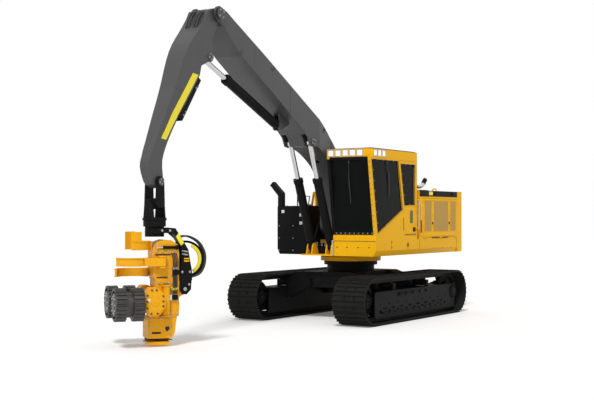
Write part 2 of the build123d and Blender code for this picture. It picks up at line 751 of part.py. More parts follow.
nodes["cab_shell"] = cab_shell()
cab_door = side_prism(door_outline(0), upper_half_width - cab_wall, upper_half_width)
cab_door -= side_prism(door_window(), upper_half_width - cab_wall - 1, upper_half_width + 1)
cab_hinge_x = cab_rear + 67
cab_hinge_y = upper_half_width + hinge_out
cab_hinge_line = Plane((cab_hinge_x, cab_hinge_y, 0), x_dir=(1, 0, 0), z_dir=(0, 0, 1))
cab_hinge_places = (2050.0, 2450.0, 3350.0)
for knuckle in hinge_knuckles(cab_hinge_line, cab_hinge_places, 40, "door"):
    cab_door += knuckle
nodes["cab_door"] = cab_door
for lug in hinge_knuckles(cab_hinge_line, cab_hinge_places, 40, "frame"):
    nodes["cab_shell"] += lug


def grown(outline, margin):
    """Outline moved out by a margin from its middle, for glass that laps over its opening."""
    face = side_face(outline)
    middle = face.center()
    points = []
    for x, z in outline:
        dx = x - middle.X
        dz = z - middle.Z
        reach = hypot(dx, dz)
        points.append((x + dx / reach * margin, z + dz / reach * margin))
    return points


lap = -0.4
glass_half = glass_thickness / 2
door_middle_y = upper_half_width - cab_wall / 2
nodes["door_glass"] = side_prism(grown(door_window(), lap), door_middle_y - glass_half, door_middle_y + glass_half)
left_glass = side_prism(grown(side_window(), lap), door_middle_y - glass_half, door_middle_y + glass_half)
right_glass = Pos(0, cab_inner + cab_wall - upper_half_width, 0) * left_glass
nodes["side_glass"] = Compound(children=[left_glass, right_glass])
screen_top = cab_roof_bottom - 60
screen_line = [(front_x(cab_sill) - 30, cab_sill + 0.3), (front_x(cab_sill) - 30 + glass_thickness, cab_sill + 0.3),
               (front_x(screen_top) - 30 + glass_thickness, screen_top - 0.3), (front_x(screen_top) - 30, screen_top - 0.3)]
nodes["front_glass"] = side_prism(screen_line, cab_inner + post_width + 0.3, upper_half_width - post_width - 0.3)
rear_glass_x = cab_rear + cab_wall / 2
nodes["rear_glass"] = block(rear_glass_x - glass_half, rear_glass_x + glass_half, cab_inner + 120.3,
                            upper_half_width - 120.3, waist_height + 0.3, screen_top - 0.3)


# Roof: thick band with a row of lamp pockets in front and round the left front corner
roof_corner_y = upper_half_width - roof_corner_cut
roof_corner_x = cab_front_top - roof_corner_back
lamp_step = (roof_corner_y - cab_inner - 158) / 4


def roof_lamp_places():
    """Centre and heading of each lamp: five across the front, three along the left side."""
    front = [(cab_front_top, cab_inner + 95 + number * lamp_step, 0) for number in range(5)]
    side = [(roof_corner_x - 110 - number * 190, upper_half_width, 90) for number in range(3)]
    return front + side


def cab_roof():
    outline = [(cab_rear, cab_inner), (cab_front_top, cab_inner), (cab_front_top, roof_corner_y),
               (roof_corner_x, upper_half_width), (cab_rear, upper_half_width)]
    bottom = cab_roof_bottom + running_gap
    roof = plan_prism(outline, bottom, cab_roof_top)
    middle = (bottom + cab_roof_top) / 2
    for x, y, heading in roof_lamp_places():
        pocket = Pos(x, y, middle) * Rot(0, 0, heading) * Box(100, lamp_size + 10, lamp_size + 10)
        roof -= pocket
    return roof


nodes["cab_roof"] = cab_roof()
lamps = []
lamp_middle = (cab_roof_bottom + running_gap + cab_roof_top) / 2
for lamp_x, lamp_y, lamp_heading in roof_lamp_places():
    lamp = Box(50 - running_gap, lamp_size, lamp_size)
    lamp_place = Pos(lamp_x, lamp_y, lamp_middle) * Rot(0, 0, lamp_heading) * Pos(-25 + running_gap / 2, 0, 0)
    lamps.append(lamp_place * lamp)
nodes["work_lamps"] = Compound(children=lamps)

# Inside the cab: seat on its base, arm pods with levers, and a screen on a stalk
seat_x = 350.0
seat_y = (cab_inner + upper_half_width) / 2
floor_z = deck_top + 40
pod_half = 60.0
pod_reach = (upper_half_width - cab_inner) / 2 - cab_wall - pod_wall_gap - pod_half
seat_half = pod_reach - pod_half - seat_side_gap
seat_section = [(seat_x - 260, floor_z + 400), (seat_x + 260, floor_z + 400), (seat_x + 260, floor_z + 520),
                (seat_x - 140, floor_z + 530), (seat_x - 260, floor_z + 1230), (seat_x - 380, floor_z + 1220),
                (seat_x - 300, floor_z + 400)]
nodes["seat"] = side_prism(seat_section, seat_y - seat_half, seat_y + seat_half)
seat_base_half = seat_half - 50
nodes["seat_base"] = block(seat_x - 200, seat_x + 200, seat_y - seat_base_half, seat_y + seat_base_half,
                           floor_z, floor_z + 400)
pods = []
for side in (-1, 1):
    pod_y = seat_y + side * pod_reach
    pod = block(seat_x - 150, seat_x + 330, pod_y - pod_half, pod_y + pod_half, floor_z + 560, floor_z + 660)
    pod += block(seat_x - 120, seat_x - 20, pod_y - 40, pod_y + 40, floor_z, floor_z + 561)
    pod += post(seat_x + 270, pod_y, 22, floor_z + 659, floor_z + 800)
    pod += Pos(seat_x + 270, pod_y, floor_z + 810) * Sphere(38)
    pods.append(pod)
nodes["arm_pods"] = Compound(children=pods)


# Boom: bent box beam, hollow, with pockets below for the cylinder rods and a fork at its tip
def curve_points(points, start, end, count):
    """Points along a smooth curve through the given (x, z) points, with its two end directions."""
    edge = Spline(*[(x, 0, z) for x, z in points], tangents=((start[0], 0, start[1]), (end[0], 0, end[1])))
    steps = [edge.position_at(step / count) for step in range(count + 1)]
    return [(place.X, place.Z) for place in steps]


def arc_points(centre, radius, start, stop, count):
    """Points round a centre between two headings in degrees, measured from X towards Z."""
    angles = [radians(start + (stop - start) * step / count) for step in range(count + 1)]
    return [(centre[0] + radius * cos(angle), centre[1] + radius * sin(angle)) for angle in angles]


def boom_outline():
    tip_x, tip_z = boom_tip
    outline = arc_points(boom_foot, boom_foot_radius, 180, 360, 12)
    outline += curve_points([(940, 2500), (1010, 2900), (1180, 3200), (1650, 3610), (2010, 3770)], (0, 1), (1, 0.35), 16)
    outline += [(2140, 3750), (2280, 3770), (2370, 3950), (2560, 4100), (4760, 5370)]
    outline += arc_points(boom_tip, boom_tip_radius, -105, 90, 12)
    outline += [(tip_x - 230, tip_z + 60), (5020, 6040)]
    outline += curve_points([(1810, 4300), (1390, 4035), (1000, 3640), (700, 3080), (600, 2480)], (-1, -0.54), (-0.1, -1), 18)
    return outline


def boom_plan(inset):
    leg = boom_leg_half_width - inset
    wide = boom_half_width - inset
    tip = boom_tip_half_width - inset
    half = [(300, leg), (1350, leg), (1900, wide), (4000, wide), (5700, tip)]
    return half + [(x, -y) for x, y in reversed(half)]


def boom():
    outline = boom_outline()
    inner_face = offset(side_face(outline), amount=-boom_plate, kind=Kind.INTERSECTION)
    tip_x, tip_z = boom_tip
    pin_x, pin_z = boom_rod_pin
    body = side_prism(outline, -400, 400) & plan_prism(boom_plan(0), 1500, 6500)
    cavity = extrude(inner_face, amount=400, both=True, dir=(0, 1, 0))
    cavity &= plan_prism(boom_plan(boom_plate + 6), 1500, 6500)
    fork_radius = 240.0
    fork_half = stick_top_half_width + body_gap
    cavity -= rod_along_y(tip_x, tip_z, fork_radius + boom_plate, -400, 400)
    cavity -= rod_along_y(boom_foot[0], boom_foot[1], boom_foot_radius, -400, 400)
    lug_inner = cylinder_y - boom_rod_radius - panel_gap - 25
    lug_band = block(pin_x - 250, pin_x + 300, lug_inner, 400, 3500, 4700)
    cavity -= lug_band + mirrored(lug_band)
    body -= cavity
    body -= post(hose_port_x, 0, hose_port_radius, 3000, 3800)
    pocket = [(pin_x - 230, 3500), (pin_x + 270, 3500), (pin_x + 270, pin_z + 200), (pin_x - 100, pin_z + 200),
              (pin_x - 230, pin_z + 60)]
    pocket_inner = lug_inner + 25
    pocket_outer = cylinder_y + boom_rod_radius + panel_gap
    for side in (-1, 1):
        ends = sorted((side * pocket_inner, side * pocket_outer))
        body -= side_prism(pocket, ends[0], ends[1])
    body -= rod_along_y(tip_x, tip_z, fork_radius, -fork_half, fork_half)
    body -= block(tip_x, tip_x + 400, -fork_half, fork_half, tip_z - 400, tip_z + 400)
    foot_x, foot_z = boom_foot
    body -= rod_along_y(foot_x, foot_z, foot_pin_radius + pin_gap, -400, 400)
    pin_half = boom_tip_half_width + 30
    body += rod_along_y(tip_x, tip_z, tip_pin_radius, -pin_half, pin_half)
    for side in (-1, 1):
        ends = sorted((side * (boom_tip_half_width - 6), side * (boom_tip_half_width + 22)))
        body += rod_along_y(tip_x, tip_z, 85, ends[0], ends[1])
    lug_x, lug_z = stick_cylinder_foot
    eye_half = cylinder_eye_width / 2
    lug = [(lug_x - 330, lug_z + 70), (lug_x - 90, lug_z - 40), (lug_x - 40, lug_z - 82), (lug_x + 40, lug_z - 82),
           (lug_x + 82, lug_z - 30), (lug_x + 60, lug_z + 160), (lug_x + 60, lug_z + 270), (lug_x - 200, lug_z + 200)]
    for edge in (-1, 1):
        ends = sorted((edge * (eye_half + panel_gap), edge * (eye_half + panel_gap + 30)))
        body += side_prism(lug, ends[0], ends[1]) - cavity
    pin_half = eye_half + panel_gap + 30
    body += rod_along_y(lug_x, lug_z, cylinder_pin_radius, -pin_half, pin_half)
    return body


nodes["boom"] = boom()


# Stick: tapering box with a bowed outer face, a cheek at the rod pin and a curved neck at its end
def stick_outline():
    tip_x, tip_z = boom_tip
    end_x, end_z = stick_end
    pin_x, pin_z = stick_rod_pin
    outline = arc_points(boom_tip, stick_boss_radius, 240, 90, 10)
    outline += curve_points([(5690, 6120), (5900, 5800), (6240, 5400), (6600, 4600), (6850, 4070), (7150, 3430)],
                            (0.5, -1), (0.5, -1), 18)
    outline += curve_points([(7150, 3430), (7235, 3170), (7170, 2960), (end_x + 70, end_z - 92)], (0.35, -1), (-1, -0.5),
                            10)[1:]
    outline += arc_points(stick_end, stick_end_radius, -70, -175, 7)
    outline += curve_points([(end_x - stick_end_radius, end_z + 5), (6865, 3200), (6740, 3600), (6490, 4035)], (0, 1),
                            (-0.6, 1), 10)
    outline += [(5900, 4880), (5860, 5060), (pin_x + 60, pin_z - 105)]
    outline += arc_points(stick_rod_pin, 100, 250, 130, 8)
    outline += [(5560, 5600)]
    return outline


def stick_taper(inset):
    """Width of the stick in the front view: wide at the top pin, narrow at the lower end."""
    tip_z = boom_tip[1]
    top = stick_top_half_width - inset
    low = stick_end_half_width - inset
    half = [(top, tip_z + 300), (top, tip_z - 300), (low + 75, 4500), (low, 3300), (low, 2600)]
    return half + [(-y, z) for y, z in reversed(half)]


def stick():
    outline = stick_outline()
    inner_face = offset(side_face(outline), amount=-stick_plate)
    tip_x, tip_z = boom_tip
    end_x, end_z = stick_end
    pin_x, pin_z = stick_rod_pin
    body = side_prism(outline, -300, 300) & end_prism(stick_taper(0), 5000, 7600)
    cavity = extrude(inner_face, amount=300, both=True, dir=(0, 1, 0))
    cavity &= end_prism(stick_taper(stick_plate + 4), 5000, 7600)
    cavity -= rod_along_y(tip_x, tip_z, stick_boss_radius + 5, -300, 300)
    cavity -= block(5000, 7600, -300, 300, 2500, 3350)
    recess = [(pin_x - 200, pin_z + 190), (pin_x + 120, pin_z + 130), (pin_x + 400, pin_z - 40), (pin_x + 400, pin_z - 250),
              (pin_x + 230, pin_z - 330), (pin_x - 200, pin_z - 330)]
    recess_half = cylinder_eye_width / 2 + 10
    cavity -= side_prism([(pin_x - 220, pin_z + 210), (pin_x + 130, pin_z + 145), (pin_x + 415, pin_z - 30),
                          (pin_x + 415, pin_z - 260), (pin_x + 240, pin_z - 345), (pin_x - 220, pin_z - 345)],
                         -recess_half - 25, recess_half + 25)
    body -= cavity
    body -= rod_along_x(0, stick_port_z, hose_port_radius, 5900, 6320)
    body -= side_prism(recess, -recess_half, recess_half)
    body -= rod_along_y(tip_x, tip_z, tip_pin_radius + pin_gap, -300, 300)
    pin_half = stick_end_half_width + panel_gap + link_plate
    body += rod_along_y(end_x, end_z, end_pin_radius, -pin_half, pin_half)
    return body


nodes["stick"] = stick()

# Hose guard on the stick's inner face: folded channel, open towards the stick
guard_top = (5917.2, 4855.4)
guard_low = (6467.1, 4067.8)
guard_depth = 110.0
guard_angle = atan2(guard_top[1] - guard_low[1], guard_top[0] - guard_low[0])
guard_out = (-sin(guard_angle - pi), cos(guard_angle - pi))


def guard_strip(near, far):
    """Strip beside the stick's inner face, between two distances from it."""
    points = []
    for end, reach in ((guard_top, near), (guard_low, near), (guard_low, far), (guard_top, far)):
        points.append((end[0] - guard_out[0] * reach, end[1] - guard_out[1] * reach))
    return points


guard = side_prism(guard_strip(running_gap, guard_depth), -165, 165)
guard -= side_prism(guard_strip(-5, guard_depth - 12), -153, 153)
nodes["stick_guard"] = guard


# Cylinders: a barrel with an eye, and a rod with a piston and an eye, laid along their own line
def cylinder_line(foot, head):
    """Plane with its Z along the cylinder and its origin at the foot pin."""
    return Plane((foot[0], 0, foot[1]), x_dir=(0, 1, 0), z_dir=(head[0] - foot[0], 0, head[1] - foot[1]))


def barrel(radius, bore, rod_radius, length, foot_pin):
    gland = 90.0
    base = 150.0
    tube = Pos(0, 0, (length + base) / 2) * Cylinder(radius, length - base)
    tube += Pos(0, 0, length - gland / 2) * Cylinder(radius + 12, gland)
    tube -= Pos(0, 0, (length - gland + base + 40) / 2) * Cylinder(bore, length - gland - base - 40)
    tube -= Pos(0, 0, length) * Cylinder(rod_radius + pin_gap, 3 * gland)
    eye = Rot(0, 90, 0) * Cylinder(cylinder_eye_radius, cylinder_eye_width)
    eye += Pos(0, 0, base / 2) * Box(cylinder_eye_width, 1.6 * cylinder_eye_radius, base + 2)
    eye -= Rot(0, 90, 0) * Cylinder(foot_pin + pin_gap, 2 * cylinder_eye_width)
    return tube + eye


def piston_rod(bore, rod_radius, length, reach):
    """Rod whose eye is at the given reach from the foot pin."""
    rod = Pos(0, 0, reach - length / 2) * Cylinder(rod_radius, length)
    rod += Pos(0, 0, reach - length + 60) * Cylinder(bore - pin_gap, 120)
    eye = Rot(0, 90, 0) * Cylinder(cylinder_eye_radius, cylinder_eye_width - 4)
    rod += Pos(0, 0, reach) * eye
    rod -= Pos(0, 0, reach) * Rot(0, 90, 0) * Cylinder(cylinder_pin_radius, 2 * cylinder_eye_width)
    return rod


boom_cylinder_reach = hypot(boom_rod_pin[0] - boom_cylinder_foot[0], boom_rod_pin[1] - boom_cylinder_foot[1])
stick_cylinder_reach = hypot(stick_rod_pin[0] - stick_cylinder_foot[0], stick_rod_pin[1] - stick_cylinder_foot[1])
boom_line = cylinder_line(boom_cylinder_foot, boom_rod_pin)
stick_line = cylinder_line(stick_cylinder_foot, stick_rod_pin)
boom_barrel = boom_line * barrel(boom_barrel_radius, boom_bore_radius, boom_rod_radius, boom_barrel_length,
                                 cylinder_pin_radius)
boom_rod = boom_line * piston_rod(boom_bore_radius, boom_rod_radius, boom_rod_length, boom_cylinder_reach)
nodes["boom_cylinder_barrels"] = Compound(children=[Pos(0, side * cylinder_y, 0) * boom_barrel for side in (-1, 1)])
nodes["boom_cylinder_rods"] = Compound(children=[Pos(0, side * cylinder_y, 0) * boom_rod for side in (-1, 1)])
nodes["stick_cylinder_barrel"] = stick_line * barrel(stick_barrel_radius, stick_bore_radius, stick_rod_radius,
                                                     stick_barrel_length, cylinder_pin_radius)
nodes["stick_cylinder_rod"] = stick_line * piston_rod(stick_bore_radius, stick_rod_radius, stick_rod_length,
                                                      stick_cylinder_reach)


# Hanging link: two plates on the stick's end pin, tied by a barrel for the cross pin below
def hanging_link():
    end_x, end_z = stick_end
    inner = stick_end_half_width + panel_gap
    outer = inner + link_plate
    cheek = [(end_x - 90, end_z + 40), (end_x - 40, end_z + 95), (end_x + 40, end_z + 95), (end_x + 90, end_z + 40),
             (end_x + 110, link_z), (end_x + 60, link_z - 60), (end_x - 60, link_z - 60), (end_x - 110, link_z)]
    plate = side_prism(cheek, inner, outer) - rod_along_y(end_x, end_z, end_pin_radius + pin_gap, 0, 400)
    link = plate + mirrored(plate)
    link += block(end_x - 110, end_x + 110, -inner - 1, inner + 1, link_z - 60, link_z + 110)
    link += rod_along_x(0, link_z, 85, end_x - 130, end_x + 130)
    link -= rod_along_x(0, link_z, cross_pin_radius + pin_gap, end_x - 300, end_x + 300)
    return link


nodes["hanging_link"] = hanging_link()


# Cross link: fork on the cross pin that carries the rotator's housing
def cross_link():
    inner = 130 + panel_gap
    outer = inner + link_plate
    half = 110
    cheek = [(-half, rotator_top - 30), (half, rotator_top - 30), (half * 0.8, link_z), (0, link_z + half * 0.8),
             (-half * 0.8, link_z)]
    link = end_prism(cheek, rotor_axis + inner, rotor_axis + outer)
    link += end_prism(cheek, rotor_axis - outer, rotor_axis - inner)
    link += rod_along_x(0, link_z, cross_pin_radius, rotor_axis - outer, rotor_axis + outer)
    link += post(rotor_axis, 0, rotator_radius, rotator_bottom, rotator_top - 15)
    link += post(rotor_axis, 0, rotator_radius + 15, rotator_top - 70, rotator_top - 30)
    return link


nodes["rotator_housing"] = cross_link()


# The head and its bracket are drawn facing +X about the rotator's axis, then turned with the rotator
def on_head(shape):
    return Pos(rotor_axis, 0, 0) * Rot(0, 0, head_turn) * Pos(-head_offset, 0, 0) * shape


def head_point(x, y, z):
    """Place in the machine of a point given in the head's own directions."""
    turned = turned_about_z((x - head_offset, y), radians(head_turn))
    return (rotor_axis + turned[0], turned[1], z)


# Tilt bracket: rotor plate with two curved arms down the head's back to the tilt pin, and a hose guard behind
def tilt_bracket():
    pin_x, pin_z = tilt_pin
    half = bracket_half_width
    arm = [(120, bracket_top), (-150, bracket_top + 25), (-300, bracket_top + 10), (-530, 1700), (-600, 1300),
           (-580, 990), (-500, 905), (-430, 905), (-375, 990), (-400, 1300), (-415, 1600), (-395, 1860),
           (-250, 1985), (120, 1985)]
    plate = side_prism(arm, half - bracket_plate, half)
    bracket = plate + mirrored(plate)
    bracket += post(head_offset, 0, rotor_radius, bracket_top - 140, rotator_bottom - running_gap)
    bracket += block(-230, 120, -half + 1, half - 1, bracket_top - 60, bracket_top - 5)
    bracket += side_prism([(-300, bracket_top + 5), (-525, 1705), (-560, 1500), (-520, 1500), (-490, 1690), (-280, bracket_top - 50)],
                          -half + 1, half - 1)
    bracket += rod_along_y(pin_x, pin_z, tilt_pin_radius, -half - 10, half + 10)
    bracket += block(-600, -560, -half + 1, half - 1, 1150, 1240)
    arc_x = -530
    arc_z = 1520
    arc = rod_along_y(arc_x, arc_z, 330, -20, 20) - rod_along_y(arc_x, arc_z, 290, -25, 25)
    arc &= side_prism([(-440, 1900), (-440, 1700), (-590, 1500), (-590, 1100), (-1000, 1100), (-1000, 1900)], -30, 30)
    return bracket + arc


nodes["tilt_bracket"] = on_head(tilt_bracket())


# Head frame: tall box with a rounded top, lugs for the knives and arms, and the tilt lug behind
def head_frame():
    half = head_half_width
    pin_x, pin_z = tilt_pin
    outline = [(head_back, saw_box_top), (head_face - 160, saw_box_top), (head_face - 40, 700), (head_face - 40, 1150),
               (head_face, 1250), (head_face, head_top - 160), (head_face - 80, head_top - 40), (-100, head_top),
               (-230, head_top - 10), (head_back + 20, head_top - 90), (head_back, head_top - 230)]
    frame = side_prism(outline, -half, half)
    wall = 30
    back = head_back + head_back_wall
    inner = [(back, saw_box_top + wall), (head_face - 180, saw_box_top + wall), (head_face - 75, 720),
             (head_face - 75, 1150), (head_face - wall, 1260), (head_face - wall, head_top - 180), (-110, head_top - wall),
             (-200, head_top - 45), (back, head_top - 160)]
    frame -= side_prism(inner, -half + wall, half - wall)
    lug_half = bracket_half_width - bracket_plate - panel_gap
    tilt_lug = [(head_back + 5, pin_z + 160), (pin_x - 60, pin_z + 50), (pin_x - 60, pin_z - 50), (head_back + 5, pin_z - 160)]
    lug = side_prism(tilt_lug, lug_half - 60, lug_half)
    frame += lug + mirrored(lug)
    frame -= rod_along_y(pin_x, pin_z, tilt_pin_radius + pin_gap, -half - 50, half + 50)
    for z_low, z_high, sides, pivot in ear_places():
        for side in sides:
            x, y = pivot
            ear = block(x - 70, x + 70, half - 5, y, z_low, z_high) + post(x, y, 70, z_low, z_high)
            frame += ear if side > 0 else mirrored(ear)
    for side in (-1, 1):
        frame += post(arm_pivot[0], side * arm_pivot[1], pivot_pin_radius, arm_bottom - 40, arm_top + 40)
        low, high = knife_band(side)
        frame += post(knife_pivot[0], side * knife_pivot[1], pivot_pin_radius, low - 30, high + 30)
    return frame


def knife_band(side):
    """Lowest and highest of a knife: the left one works above the right one."""
    return (1410.0, 1560.0) if side > 0 else (1215.0, 1365.0)


def ear_places():
    gap = panel_gap
    places = [(arm_bottom - 40, arm_bottom - gap, (-1, 1), arm_pivot), (arm_top + gap, arm_top + 40, (-1, 1), arm_pivot)]
    for side in (-1, 1):
        low, high = knife_band(side)
        places.append((low - 36, low - gap, (side,), knife_pivot))
        places.append((high + gap, high + 36, (side,), knife_pivot))
    return places


nodes["head_frame"] = on_head(head_frame())


def ring_sector(inner, outer, start, stop, z_low, z_high):
    """Part of a ring about the trunk's line, between two headings in degrees."""
    ring = post(trunk_centre, 0, outer, z_low, z_high) - post(trunk_centre, 0, inner, z_low - 1, z_high + 1)
    reach = 2 * outer
    steps = ceil((stop - start) / 60)
    headings = [radians(start + (stop - start) * step / steps) for step in range(steps + 1)]
    outline = [(trunk_centre, 0)] + [(trunk_centre + reach * cos(a), reach * sin(a)) for a in headings]
    return ring & plan_prism(outline, z_low - 2, z_high + 2)


# Top knife: fixed curved blade over the trunk space
def top_knife():
    inner = knife_inner_radius + 5
    blade = ring_sector(inner, inner + knife_thickness, 75, 285, 1690, 1850)
    blade += ring_sector(inner, inner + knife_thickness, 75, 110, 1845, 2010)
    blade += ring_sector(inner, inner + knife_thickness, 250, 285, 1845, 2010)
    foot = block(head_face + running_gap, trunk_centre - inner - 8, -130, 130, 1690, 1850)
    return blade + foot


nodes["top_knife"] = on_head(top_knife())


# Delimbing knives: curved arms round the trunk, each on an upright pin at the frame's side
def knife(side):
    low, high = knife_band(side)
    inner = knife_inner_radius
    blade = ring_sector(inner, inner + knife_thickness, 12, 165, low, high)
    x, y = knife_pivot
    root_x = trunk_centre + (inner + knife_thickness / 2) * cos(radians(150))
    root_y = (inner + knife_thickness / 2) * sin(radians(150))
    root = plan_prism([(x - 40, y + 60), (x + 60, y + 62), (root_x + 90, root_y + 140), (root_x + 40, root_y + 40),
                       (head_face + 15, head_half_width - 60), (head_face + 15, head_half_width + 15), (x, head_half_width + 15)],
                      low, high)
    arm = blade + root + post(x, y, pivot_hub_radius, low, high)
    arm -= block(head_back, head_face + body_gap, -400, head_half_width + 8, low - 5, high + 5)
    arm -= post(x, y, pivot_pin_radius + pin_gap, low - 5, high + 5)
    return arm if side > 0 else mirrored(arm)


nodes["knife_left"] = on_head(knife(1))
nodes["knife_right"] = on_head(knife(-1))


# Feed arms: eight-sided motor housings on upright pins, each with a stub shaft for its roller
def feed_arm(side):
    x, y = arm_pivot
    front = feed_roller_start - body_gap
    outline = [(-60, 700), (60, arm_bottom), (front - 90, arm_bottom), (front, 680), (front, 940),
               (front - 100, arm_top), (80, arm_top), (-60, 930)]
    inner_side = head_half_width + body_gap
    outer_side = feed_roller_offset + 140
    arm = side_prism(outline, inner_side, outer_side)
    wall = 15
    hollow = [(x + 60 + wall, 700), (80, arm_bottom + wall), (front - 95, arm_bottom + wall), (front - 60, 690),
              (front - 60, 930), (front - 105, arm_top - wall), (95, arm_top - wall), (x + 60 + wall, 925)]
    arm -= side_prism(hollow, inner_side + wall, outer_side - wall)
    arm += post(x, y, pivot_hub_radius, arm_bottom, arm_top)
    arm += block(x, 0, y - 40, y + pivot_hub_radius, 700, 930)
    arm -= post(x, y, pivot_pin_radius + pin_gap, arm_bottom - 50, arm_top + 50)
    arm += rod_along_x(feed_roller_offset, roller_axis_z, motor_shaft_radius, front - 1,
                       feed_roller_start + feed_roller_length * 0.6)
    return arm if side > 0 else mirrored(arm)


nodes["feed_arm_left"] = on_head(feed_arm(1))
nodes["feed_arm_right"] = on_head(feed_arm(-1))


# Feed rollers: two toothed bands on a drum
def feed_roller(side):
    band = feed_roller_length * 0.38
    outline = []
    for tooth in range(feed_roller_teeth):
        for part, radius in ((0.0, feed_roller_radius - 26), (0.35, feed_roller_radius - 26),
                             (0.5, feed_roller_radius), (0.8, feed_roller_radius)):
            angle = 2 * pi * (tooth + part) / feed_roller_teeth
            outline.append((feed_roller_offset + radius * cos(angle), roller_axis_z + radius * sin(angle)))
    start = feed_roller_start
    stop = feed_roller_start + feed_roller_length
    roller = end_prism(outline, start, start + band) + end_prism(outline, stop - band, stop)
    roller += rod_along_x(feed_roller_offset, roller_axis_z, feed_roller_radius - 90, start, stop)
    bore_end = start + feed_roller_length * 0.6 + 5
    drum_wall = 15
    hollow = rod_along_x(feed_roller_offset, roller_axis_z, feed_roller_radius - 90 - drum_wall, start + drum_wall,
                         stop - drum_wall)
    hollow -= rod_along_x(feed_roller_offset, roller_axis_z, motor_shaft_radius + drum_wall, start, bore_end + drum_wall)
    roller -= hollow
    for low, high in ((start - 1, start + band - drum_wall), (stop - band + drum_wall, stop + 1)):
        pocket = rod_along_x(feed_roller_offset, roller_axis_z, feed_roller_radius - 42, low, high)
        roller -= pocket - rod_along_x(feed_roller_offset, roller_axis_z, feed_roller_radius - 90, low, high)
    roller -= rod_along_x(feed_roller_offset, roller_axis_z, motor_shaft_radius + pin_gap, start - 1, bore_end)
    return roller if side > 0 else mirrored(roller)


nodes["feed_roller_left"] = on_head(feed_roller(1))
nodes["feed_roller_right"] = on_head(feed_roller(-1))


# Saw box: tapering housing under the frame, slotted for the bar
def saw_box():
    outline = [(-330, saw_box_top), (170, saw_box_top), (190, saw_box_top - 60), (190, head_bottom + 20), (150, head_bottom),
               (-180, head_bottom), (-290, head_bottom + 200)]
    box = side_prism(outline, -220, 220)
    box -= side_prism([(-290, saw_box_top - 30), (150, saw_box_top - 30), (150, 190), (-250, 190)], -190, 190)
    x, y = saw_pivot
    slot_top = saw_slot_bottom + saw_slot_height
    side = y - 75
    sweep = plan_prism([(x - 50, side), (700, side), (700, 700), (x + side - 715, 700)], saw_slot_bottom, slot_top)
    box -= sweep
    box += post(x, y, 35, saw_slot_bottom - 1, slot_top + 1)
    return box


nodes["saw_box"] = on_head(saw_box())


def saw_bar():
    x, y = saw_pivot
    middle = saw_slot_bottom + saw_slot_height / 2
    low = middle - saw_bar_thickness / 2
    high = middle + saw_bar_thickness / 2
    half = saw_bar_width / 2
    bar = block(0, saw_bar_length - half, -half, half, low, high) + post(saw_bar_length - half, 0, half, low, high)
    bar += post(0, 0, 60, saw_slot_bottom + 5.5, saw_slot_bottom + saw_slot_height - 5.5)
    bar -= post(0, 0, 35 + pin_gap, low - 100, high + 100)
    return Pos(x, y, 0) * Rot(0, 0, saw_rest_turn) * bar


nodes["saw_bar"] = on_head(saw_bar())

# Move everything so that the origin is on the ground under the middle of the machine
whole = Compound(children=[Pos(0, 0, 0) * shape for shape in nodes.values()])
bounds = whole.bounding_box()
shift = (-(bounds.min.X + bounds.max.X) / 2, -(bounds.min.Y + bounds.max.Y) / 2, -bounds.min.Z)

os.makedirs("parts", exist_ok=True)
for name, shape in nodes.items():
    solids = shape.solids()
    piece = solids[0] if len(solids) == 1 else Compound(children=solids)
    export_step(Pos(*shift) * piece, f"parts/{name}.step")
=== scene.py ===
import math
import bpy
from mathutils import Matrix, Vector
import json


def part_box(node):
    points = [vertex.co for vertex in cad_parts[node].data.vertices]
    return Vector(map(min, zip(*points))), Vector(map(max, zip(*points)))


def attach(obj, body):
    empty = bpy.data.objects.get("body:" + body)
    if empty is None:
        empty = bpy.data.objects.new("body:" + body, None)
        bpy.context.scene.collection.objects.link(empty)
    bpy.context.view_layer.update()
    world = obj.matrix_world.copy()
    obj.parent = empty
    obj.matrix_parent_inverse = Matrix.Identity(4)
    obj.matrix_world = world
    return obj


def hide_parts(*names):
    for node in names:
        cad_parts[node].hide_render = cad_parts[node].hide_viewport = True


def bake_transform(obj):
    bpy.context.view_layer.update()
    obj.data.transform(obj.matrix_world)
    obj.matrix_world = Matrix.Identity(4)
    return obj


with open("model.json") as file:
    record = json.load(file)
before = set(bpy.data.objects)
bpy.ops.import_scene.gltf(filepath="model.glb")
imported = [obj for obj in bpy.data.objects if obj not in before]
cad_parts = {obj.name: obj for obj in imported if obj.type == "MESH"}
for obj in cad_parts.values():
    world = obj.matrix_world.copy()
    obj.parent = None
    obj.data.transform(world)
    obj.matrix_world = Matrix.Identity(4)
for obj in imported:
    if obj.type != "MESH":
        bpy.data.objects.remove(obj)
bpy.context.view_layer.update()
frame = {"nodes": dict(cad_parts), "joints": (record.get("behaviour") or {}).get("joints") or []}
nodes = frame["nodes"]
bpy.ops.object.select_all(action="DESELECT")

# Camera: a long lens at eye height off the left front corner, where the photographer stood.
# Its place is counted from the slew axis, which the machine's own joint gives.
slew = next(joint for joint in frame["joints"] if joint["name"] == "slew")
axis_x = slew["pos_m"][0]
camera_data = bpy.data.cameras.new("photo_camera")
focal_pixels = 1100
picture_width = 594
camera_data.lens = camera_data.sensor_width * focal_pixels / picture_width
camera = bpy.data.objects.new("photo_camera", camera_data)
bpy.context.scene.collection.objects.link(camera)
camera.location = (21.96 + axis_x, 12.63, 2.28)
camera.rotation_euler = (math.radians(90.85), 0, math.radians(212.7 - 90))
bpy.context.scene.camera = camera

# Floor: one wide pale sheet under the tracks, which keeps the machine's shadow.
# To the camera, in gloss and through glass it is as white as the backdrop.
bpy.ops.mesh.primitive_plane_add(size=160, location=(0, 0, -0.002))
floor = bpy.context.object
floor.name = "studio_floor"
floor_paint = bpy.data.materials.new("studio_floor")
floor_paint.use_nodes = True
tree = floor_paint.node_tree
for socket, value in (("Base Color", (0.93, 0.93, 0.93, 1)), ("Roughness", 0.9),
                      ("Emission Color", (1, 1, 1, 1)),
                      ("Emission Strength", 0.12)):
    tree.nodes["Principled BSDF"].inputs[socket].default_value = value
floor.data.materials.append(floor_paint)

